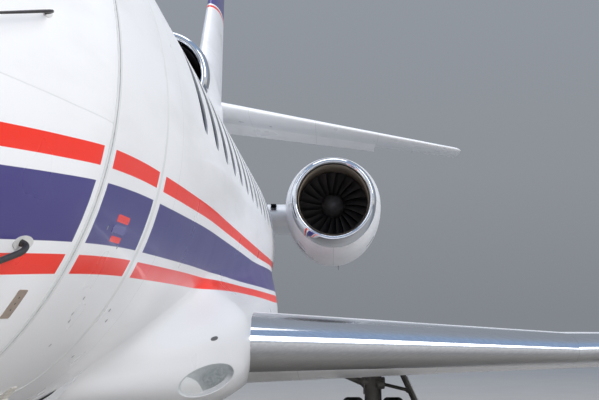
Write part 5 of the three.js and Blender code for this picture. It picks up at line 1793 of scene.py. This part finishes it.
def gear_door_part():
    """A panel with round corners: a rounded rectangle in station and share of height, carried through the
    panel's thickness, with two ribs and the link rods inside."""
    loop = rounded(DOOR_AT[0], DOOR_AT[1], 0.0, 0.70, 0.06, 0.05)
    share = loop[:, 1] / 0.70
    mid = (DOOR_AT[0] + DOOR_AT[1]) / 2
    rings = []
    for deep, small in ((0.0, 0.985), (0.003, 1.0), (DOOR_THICK - 0.003, 1.0), (DOOR_THICK, 0.985)):
        s = mid + (loop[:, 0] - mid) * small
        p = 0.5 + (share - 0.5) * small
        x = DOOR_TOP[0] + (DOOR_LOW[0] - DOOR_TOP[0]) * p + deep
        z = DOOR_TOP[1] + (DOOR_LOW[1] - DOOR_TOP[1]) * p
        rings.append(np.column_stack([x, NOSE + s, z]))
    ribs = []
    for s in (10.52, 10.92):
        y = NOSE + s
        ribs.append(rod((2.425, y, 1.05), (2.665, y, 0.52), 0.012, 0.003, 10))
    return [
        np.array(rings), *ribs,
        rod((2.26, MAIN_Y, 0.858), (2.545, MAIN_Y, 0.79), 0.0155, 0.003, 16),
        rod((2.29, MAIN_Y - 0.03, 0.85), (2.29, MAIN_Y + 0.03, 0.85), 0.024, 0.004, 16),
        rod((2.535, MAIN_Y - 0.03, 0.792), (2.535, MAIN_Y + 0.03, 0.792), 0.024, 0.004, 16),
    ]


gear_door_paint = Finish("gear_door_paint", Roughness=0.35)
panel_depth = gear_door_paint.x.size() - DOOR_TOP[0] - (DOOR_TOP[1] - gear_door_paint.z) * 0.453
outer_face = panel_depth.rise(0.018, 0.021)
# Painted shade: the panel's inner face is a dark grey that stands for the shade under the wing, with dirt
# clouds over it. The outer face is white with faint dirt.
door_dirt_and_shade = gear_door_paint.noise(9, 4, (1, 1, 0.4)).rise(0.4, 0.8)
shaded_inner_color = gear_door_paint.mix(door_dirt_and_shade, rgb(112, 110, 106), rgb(60, 55, 50))
outer_color = gear_door_paint.mix(door_dirt_and_shade * 0.4, WHITE, GRIME)
gear_door_paint.feed("Base Color", gear_door_paint.mix(outer_face, shaded_inner_color, outer_color))
gear_door_paint.bump(gear_door_paint.noise(90, 2), 0.0003)
both_sides(
    "main_gear_door_panel", gear_door_part, "airframe", "white_skin", gear_door_paint, "main_gear_door"
)

# %% Nose leg and fork
def nose_leg_part():
    """The cylinder with its steering collar, the small door ahead of it and the door's link."""
    y, front = NOSE_LEG, NOSE + 2.74
    door = rounded(-0.118, 0.118, 0.692, 0.983, 0.03, 0.04)
    middle = door.mean(0)
    panel = np.array([
        np.insert(middle + (door - middle) * k, 1, front + d, axis=1)
        for d, k in ((0, 0.98), (0.003, 1), (0.017, 1), (0.02, 0.98))
    ])
    collar = [
        (0, 0.078), (0.004, 0.086), (0.106, 0.086), (0.110, 0.062), (0.30, 0.062), (0.31, 0.068),
        (0.35, 0.068), (0.36, 0.062), (1, 0.062),
    ]
    lamp = [(0, 0.02), (0.3, 0.05), (0.8, 0.062), (1, 0.058)]
    return [
        rod_rings((0, y, 0.60), (0, y, 1.40), collar, 48), panel,
        rod((0, front + 0.01, 0.83), (0, y, 0.83), 0.015, 0.003, 16),
        rod((-0.09, y - 0.05, 0.64), (0.09, y - 0.05, 0.64), 0.028, 0.005, 20),
        rod((-0.085, y - 0.05, 0.64), (-0.04, y, 0.90), 0.012, 0.003, 12),
        rod((0.085, y - 0.05, 0.64), (0.04, y, 0.90), 0.012, 0.003, 12),
        rod_rings((0.0, y - 0.02, TAXI_HEIGHT), (0.0, y - 0.125, TAXI_HEIGHT), lamp, 32),
    ]


single("nose_leg_body", nose_leg_part(), "airframe", "gear_paint", gear_paint, "nose_leg", angle=35)
taxi_rows = [(0, 0.055), (0.4, 0.053), (0.8, 0.035), (1, 0.001)]
taxi_ends = [(0, NOSE_LEG - back, TAXI_HEIGHT) for back in (0.122, 0.133)]
# The taxi lamp's glass glows faintly too: painted light.
single("taxi_lamp_glass", [rod_rings(*taxi_ends, taxi_rows, 32)], "airframe", "lamp_glass", glowing_lamp_face)
axle = NOSE_AXLE[2]
fork_parts = [
    rod((0, NOSE_LEG, axle), (0, NOSE_LEG, 0.5996), 0.044, 0.002, 40),
    rod((-0.042, NOSE_LEG, axle), (0.042, NOSE_LEG, axle), 0.058, 0.005, 36),
    *links(0.0, NOSE_LEG + 0.012, axle, 0.50, 0.022, 0.112),
]
single("nose_fork_body", fork_parts, "nose_steering", "gear_paint", gear_paint, "nose_fork", angle=35)
print("nose gear ready")

# %% [markdown]
# ## Small fittings
# The small fittings are separate parts on the skin. Two painted bars and a flush handle show where the
# door opens. A plate with small holes takes the still air pressure, and bent tubes take the pressure of
# the oncoming air. Round plugs close the jacking and drain points. They are riveted or screwed on in
# life. Here each plate is an oval or rounded loop on the fuselage's own chart, so it follows the skin,
# and each tube is a row of rings round a bent line.

# %% Door marks and handle
def at_level(station, level):
    """The chart's arc at which the port side of the fuselage passes a level."""
    arcs = arc_of(np.linspace(-80, 80, 641))
    heights = fuselage(np.full(641, float(station)), arcs)[:, 2]
    return float(np.interp(level, heights, arcs))


def oblong(start, end, low, high, corner=0.011):
    """A rounded loop on the port side between two stations and two levels."""
    middle = (start + end) / 2
    return rounded(start, end, at_level(middle, low), at_level(middle, high), corner, 0.006)


def disc(station, level, radius, count=20):
    """A round loop on the port side."""
    turn = round_turns(count)
    return np.stack([station + radius * np.cos(turn), at_level(station, level) + radius * np.sin(turn)], 1)


mark_red = cloudy(
    "door_mark_red", (30, 3), (236, 44, 34), (250, 62, 44),
    fine=(200, 2), deep=0.0001, Roughness=0.3, Coat_Weight=0.12, Coat_Roughness=0.05,
)
handle_paint = cloudy(
    "door_handle_paint", (24, 3), (84, 78, 142), (98, 92, 154),
    fine=(180, 2), deep=0.0001, Roughness=0.26, Coat_Weight=0.2, Coat_Roughness=0.06,
)
# Painted shade: a dark sheet under the handle shows as a thin line round it, standing for the shade in the
# gap.
handle_gap_shade = cloudy(
    "door_handle_gap", (60, 3), (40, 38, 62), (54, 50, 80),
    fine=(240, 2), deep=0.0001, Roughness=0.6,
)
for name, limits, corner, finish, proud in (
    ("door_mark_upper", (4.088, 4.272, 1.7615, 1.7855), 0.011, mark_red, 0.0012),
    ("door_mark_lower", (4.098, 4.252, 1.6970, 1.7160), 0.009, mark_red, 0.0012),
    ("door_handle_gap", (4.070, 4.276, 1.7215, 1.7560), 0.015, handle_gap_shade, 0.0004),
    ("door_handle", (4.074, 4.272, 1.7250, 1.7525), 0.012, handle_paint, 0.0018),
):
    made = shell(name, fuselage, *over(oblong(*limits, corner), 0.02), proud + 0.004, lift=proud)
    place(made, "door", "white_paint", finish)
print("door marks and handle ready")

# %% Plates and plugs
port_metal = Finish("static_port_metal", Metallic=0.35)
# Painted shade: the three small holes are painted near black, and the bump sinks them a little.
shaded_holes = 0.0
for level in (1.470, 1.487, 1.504):
    across, rise = port_metal.y - NOSE - 3.548, port_metal.z - level
    shaded_holes = (1 - (across * across + rise * rise).rise(0.0022**2, 0.0034**2)).most(shaded_holes)
brushed_brown = port_metal.mix(port_metal.noise(40, 4, (1, 0.2, 1)), rgb(150, 134, 122), rgb(186, 170, 156))
port_metal.feed("Base Color", port_metal.mix(shaded_holes, brushed_brown, rgb(26, 24, 24)))
port_metal.feed("Roughness", 0.34 + port_metal.noise(60, 2) * 0.14)
port_metal.bump(shaded_holes * -1, 0.0006)
plug_metal = cloudy(
    "plug_metal", (50, 3), (150, 152, 154), (188, 190, 192),
    fine=(300, 2), deep=0.0001, rough=(0.36, 0.14, 90, 2), Metallic=0.7,
)
# Painted shade: the drain is a dark oval plate, standing for the shade in its hole.
drain_hole_shade = cloudy(
    "drain_hole_shade", (40, 3), (88, 88, 90), (120, 120, 122),
    fine=(120, 3), deep=0.0004, rough=(0.45, 0.15, 70, 2), Metallic=0.5,
)
static_loop = oblong(3.519, 3.577, 1.447, 1.526, 0.006)
both_charts(
    "static_port", fuselage, lambda turned: [over(turned(static_loop), 0.02)],
    wall=0.0055, lift=0.0015, slot="polished_metal", finish=port_metal,
)
PLUGS = [(3.30, 1.43), (3.66, 1.33), (4.72, 1.475), (4.80, 1.435), (4.78, 1.30)]
DOOR_PLUGS = [(4.19, 1.513), (4.185, 1.462), (4.217, 1.437), (4.238, 1.356), (4.251, 1.686), (4.008, 1.734)]
PLUG_RADIUS, PLUG_WALL, PLUG_PROUD = 0.0075, 0.004, 0.0012


def plug_charts(spots, turned=lambda loop: loop):
    """A chart for each of a few round plugs."""
    return [over(turned(disc(station, level, PLUG_RADIUS)), 0.006) for station, level in spots]


door_plugs = shell("door_plugs_left", fuselage, *several(plug_charts(DOOR_PLUGS)), PLUG_WALL, lift=PLUG_PROUD)
place(door_plugs, "door", "polished_metal", plug_metal)
both_charts(
    "skin_plugs", fuselage, lambda turned: plug_charts(PLUGS, turned),
    wall=PLUG_WALL, lift=PLUG_PROUD, slot="polished_metal", finish=plug_metal,
)
DRAIN = {"station": 6.53, "level": 1.333, "long": 0.042, "tall": 0.030}
arcs = arc_of(np.linspace(-80, 80, 361))
drain_arc = float(np.interp(DRAIN["level"], fairing(np.full(361, DRAIN["station"]), arcs)[:, 2], arcs))
oval = round_turns(32)
drain_loop = np.stack([
    DRAIN["station"] + DRAIN["long"] * np.cos(oval), drain_arc + DRAIN["tall"] * np.sin(oval)
], 1)
both_charts(
    "fairing_drain", fairing, lambda turned: [over(turned(drain_loop), 0.012)],
    wall=0.0052, lift=0.0012, slot="polished_metal", finish=drain_hole_shade,
)
print("plates and plugs ready")

# %% Pitot tubes and masts
probe_metal = cloudy(
    "probe_metal", (30, 3), (62, 60, 60), (98, 94, 92),
    fine=(200, 2), rough=(0.38, 0.16, 80, 2), Metallic=0.75,
)
base_paint = cloudy(
    "probe_base_paint", (30, 3), (198, 198, 196), (222, 222, 220),
    fine=(200, 2), deep=0.0001, Roughness=0.4,
)


def skin_point(station, level, out=0.0):
    """A point at a station and level on the port side, a little way out along the normal."""
    spot = np.array([[station, at_level(station, level)]])
    point, normal = outward(fuselage, spot)
    return point[0] + normal[0] * out


def bent(points, radii, count=24, sides=20):
    """Rings along a smooth line through a few points, with a radius at each."""
    row = curve_rows(np.column_stack([points, radii]), count)
    path, radius = row[:, :3], row[:, 3]
    ahead = unit(np.gradient(path, axis=0))
    side = unit(np.cross(ahead, [0.0, 0.0, 1.0]))
    return rings_along(path, side, np.cross(side, ahead), radius, sides)


def pitot(foot, tip, out, radius):
    """A pitot tube: a foot in the skin, a stem that bends forward, and a tapering tube to its tip."""
    start, stem = skin_point(*foot, -0.012), skin_point(*foot, out * 0.45)
    end = skin_point(*tip, out)
    elbow = skin_point(*foot, out * 0.8) * (1 - 0.12) + end * 0.12
    return bent([start, stem, elbow, (elbow + end) / 2, end], np.array([1.25, 1.05, 1.0, 0.9, 0.7]) * radius)


PITOTS = [((3.36, 1.645), (3.08, 1.570), 0.040, 0.0090), ((3.22, 2.225), (2.86, 2.125), 0.045, 0.0045)]
both_sides(
    "pitot_tubes", lambda: [pitot(*numbers) for numbers in PITOTS], "airframe", "polished_metal", probe_metal
)
foot_loops = [
    np.stack([foot[0] + 0.018 + size * np.cos(oval), at_level(*foot) + size * 0.4 * np.sin(oval)], 1)
    for (foot, *_), size in zip(PITOTS, (0.058, 0.026))
]
both_charts(
    "pitot_feet", fuselage, lambda turned: [over(turned(loop), 0.02) for loop in foot_loops],
    wall=0.005, lift=0.0018, slot="white_paint", finish=base_paint,
)
print("pitot tubes: 4")

# %% [markdown]
# ## Antennas, lights and wicks
# Blade antennas stand on the crown and under the belly, a red beacon on the crown is lit when the engines
# run, and each wing tip carries a coloured light under a clear cover: red to port, green to starboard.
# Thin wicks on the trailing edges let static charge flow off. In life these are moulded plastic and glass
# screwed to the skin. Here a blade is a stack of aerofoil rings that lean aft as they rise, a lamp is a
# spun dome, and a wick is a thin tapering rod.

# %% Antennas, beacon and wicks
def blade(station, foot, tip, chord, thick, lean, x=0.0):
    """A blade that stands up or hangs down: aerofoil rings between two levels, shorter towards the tip,
    each moved aft by lean times the rise."""
    share = np.array([0.0, 0.55, 0.88, 0.97, 1.0])
    length = chord * np.array([1.0, 0.80, 0.64, 0.52, 0.30])
    width = thick * np.array([1.0, 0.85, 0.70, 0.50, 0.15])
    turn = round_turns(32)
    along = (1 - np.cos(turn)) / 2
    half = np.sin(turn) * np.sqrt(np.clip(1 - along, 0, 1)) * 0.62
    level = foot + (tip - foot) * share
    y = NOSE + station + abs(tip - foot) * lean * share[:, None] + along * length[:, None]
    z = np.broadcast_to(level[:, None], y.shape)
    return np.stack([x + half * width[:, None], y, z], -1)


def dome_rings(point, axis, radius, tall, sunk=0.01, sides=28):
    """A spun dome on a point along an axis: height goes with the sine, radius with the cosine."""
    rise = np.linspace(0, np.pi / 2, 9)[:-1]
    dome = [(tall * math.sin(a), radius * math.cos(a)) for a in rise]
    rows = [(-sunk, radius), *dome, (tall, radius * 0.02)]
    point = np.array(point, float)
    return rod_rings(point, point + unit(np.array(axis, float)), rows, sides)


def crown_and_keel(station):
    """The levels of the skin at the top and the bottom of a station."""
    return fuselage_section(station)[:2].tolist()


antenna_paint = cloudy(
    "antenna_paint", (12, 4), (206, 207, 208), (228, 229, 230),
    fine=(160, 2), Roughness=0.42,
)


BEACON_AT = 7.0
UP_BLADES = [(4.9, 0.23, 0.30), (8.2, 0.20, 0.26)]
DOWN_BLADES = [(3.9, 0.18, 0.24), (4.75, 0.14, 0.20)]
blades = []
for spots, end, up, thick, lean in ((UP_BLADES, 0, 1, 0.022, 0.55), (DOWN_BLADES, 1, -1, 0.020, 0.50)):
    for station, tall, chord in spots:
        level = crown_and_keel(station)[end]
        blades.append(blade(station, level - up * 0.02, level + up * tall, chord, thick, lean))
single("blade_antennas", blades, "airframe", "white_paint", antenna_paint)
beacon_glass = cloudy("beacon_glass", (40, 2), (176, 30, 24), (206, 44, 34), Roughness=0.12, Coat_Weight=0.4)
beacon_glass.bump(beacon_glass.z.wrap(0.008), 0.0006)
beacon_foot = (0, NOSE + BEACON_AT, crown_and_keel(BEACON_AT)[0])
beacon = dome_rings(beacon_foot, (0, 0, 1), radius=0.052, tall=0.075)
single("beacon", [beacon], "airframe", "lamp_glass", beacon_glass)
wick = cloudy("static_wick", (80, 2), (34, 34, 36), (58, 58, 60), fine=(400, 2), Roughness=0.6)


def wick_rings(start, direction, length=0.11):
    """A thin rod from a trailing edge, thicker at its foot."""
    end = np.array(start) + np.array(direction, float) / np.linalg.norm(direction) * length
    return rod_rings(start, end, [(0, 0.0045), (0.16, 0.0045), (0.2, 0.0022), (1, 0.0014)], 10)


def trailing(table, at):
    """The trailing edge point of an aerofoil surface at a place along its span."""
    ring = foil_rings(table, [at], (0, 1), (0, 1), 24)[0]
    return ring[np.argmax(ring[:, 1])]


print("antennas and beacon ready")

# %% Tip lights, wicks and cowl fittings
tip_red = cloudy(
    "tip_light_red", (40, 2), (186, 26, 22), (212, 40, 32),
    fine=(60, 2), Roughness=0.1, Coat_Weight=0.4,
)
tip_green = cloudy(
    "tip_light_green", (40, 2), (20, 142, 70), (34, 168, 88),
    fine=(60, 2), Roughness=0.1, Coat_Weight=0.4,
)
TIP_AT = 9.60
station, _, height, *_ = row_at(WING, TIP_AT)
light_at = np.array([TIP_AT, NOSE + station + 0.055, height])
for side, sign, finish in (("left", 1, tip_red), ("right", -1, tip_green)):
    rings = dome_rings(light_at + (0.030, 0, 0), (0.45, -1, 0), 0.016, 0.045, 0.03) * (sign, 1, 1)
    single(f"tip_light_{side}", [rings], "airframe", "lamp_glass", finish)
WICKS = [(WING, (9.28, 9.34, 9.50), (0.12, 1, 0)), (TAIL, (2.75, 3.15, 3.55), (0.1, 1, 0))]
rods = [
    wick_rings(trailing(table, at) + (0, -0.004, 0), direction)
    for table, places, direction in WICKS for at in places
]
both_sides("static_wicks", lambda: rods, "airframe", "tyre_rubber", wick)
# Painted shade: each slot is a dark plate on the cowl, standing for the shade inside the opening.
cowl_slot = cloudy("cowl_slot_shade", (60, 2), (34, 34, 36), (58, 58, 60), fine=(200, 2), Roughness=0.6)


def cowl(aft, turn):
    """The cowl's outer skin: a distance behind the lip's edge and an arc, as a turn times one metre."""
    rows = smooth_table(np.asarray(COWL_OUTSIDE))(aft)
    low = np.sin(turn) < 0
    return ENGINE + np.stack([
        rows[..., 0] * np.cos(turn), aft, rows[..., 0] * np.sin(turn) * np.where(low, rows[..., 1], 1.0)
    ], -1)


def cowl_slot_loop(aft, turn, long, wide):
    """A rounded slot on the cowl's chart."""
    corner = min(long, wide) * 0.45
    return rounded(aft - long / 2, aft + long / 2, turn - wide / 2, turn + wide / 2, corner, 0.012)


SLOTS = [(0.92, math.radians(227), 0.05, 0.25), (0.92, math.radians(321), 0.05, 0.25)]
for side, sign in SIDES:
    charts = several([over(cowl_slot_loop(*slot), 0.02) for slot in SLOTS])
    surface = cowl if sign > 0 else lambda aft, turn: cowl(aft, turn) * (-1, 1, 1)
    made = shell(f"cowl_slots_{side}", surface, *charts, 0.006, lift=0.0015, flip=sign < 0)
    place(made, "airframe", "engine_core", cowl_slot)
mast = blade(1.45, -0.60, -0.668, 0.09, 0.016, 0.5, 0.06) - (0, NOSE, 0)
engine_pieces("drain_mast", [mast], "polished_metal", plug_metal)
print("tip lights, wicks and cowl fittings ready")

# %% [markdown]
# ## Interior
# The door leaf's inside with its steps, the cabin floor with its partitions and the cockpit's seats and
# panel keep the CAD shapes. Only their surfaces change: moulded liner on the door, woven carpet on the
# floor, and padded trim and dark moulding in the cockpit. The inner faces of the skins become the cabin's
# lining. In life these are honeycomb panels with cloth or leather.

# %% Interior finishes
door_liner = Finish("door_liner", Roughness=0.5)
tread = door_liner.z.wrap(0.012).rise(0.0015, 0.0035)
liner_color = door_liner.mix(door_liner.noise(4, 4), rgb(198, 194, 184), rgb(216, 212, 204))
door_liner.feed("Base Color", door_liner.mix(tread * 0.12, liner_color, rgb(120, 116, 108)))
door_liner.bump(door_liner.noise(260, 3) + tread * 0.6, 0.0003)
panel = Finish("cabin_panel", Roughness=0.55)
seam = panel.y.wrap(0.58).rise(0.004, 0.008)
panel_color = panel.mix(panel.noise(3, 4), rgb(206, 200, 188), rgb(222, 217, 206))
panel.feed("Base Color", panel.mix(seam, rgb(128, 122, 112), panel_color))
panel.bump(panel.noise(300, 3) * 0.5 + seam, 0.0004)
lined = 0
for piece, inner in ((forward_skin, looks_inward), (cabin_skin, looks_inward), (fairing_skin, within_tube)):
    lined += line_inside(piece, panel, inner)
print("lined faces:", lined)
carpet = Finish("cabin_carpet", Roughness=0.9)
weave = carpet.x.wrap(0.006).rise(0.0006, 0.0022) * carpet.y.wrap(0.006).rise(0.0006, 0.0022)
carpet_color = carpet.mix(carpet.noise(3, 5), rgb(118, 108, 96), rgb(146, 134, 120))
upright = carpet.z.rise(1.52, 1.60)
carpet_color = carpet.mix(weave * 0.35, carpet_color, rgb(88, 80, 72))
carpet.feed("Base Color", carpet.mix(upright, carpet_color, rgb(196, 186, 168)))
carpet.bump(weave * (1 - upright) + carpet.noise(420, 2) * 0.4, 0.0008)
cockpit = Finish("cockpit_trim", Roughness=0.62)
cockpit.feed("Base Color", cockpit.mix(cockpit.noise(5, 4), rgb(58, 60, 64), rgb(84, 86, 90)))
cockpit.bump(cockpit.noise(120, 4), 0.0004)
for node, finish in (("passenger_door", door_liner), ("cabin_floor", carpet), ("cockpit_fittings", cockpit)):
    slots = frame["nodes"][node].material_slots
    for place_in in slots:
        place_in.material = finish.material
    print(node, "material slots:", len(slots))
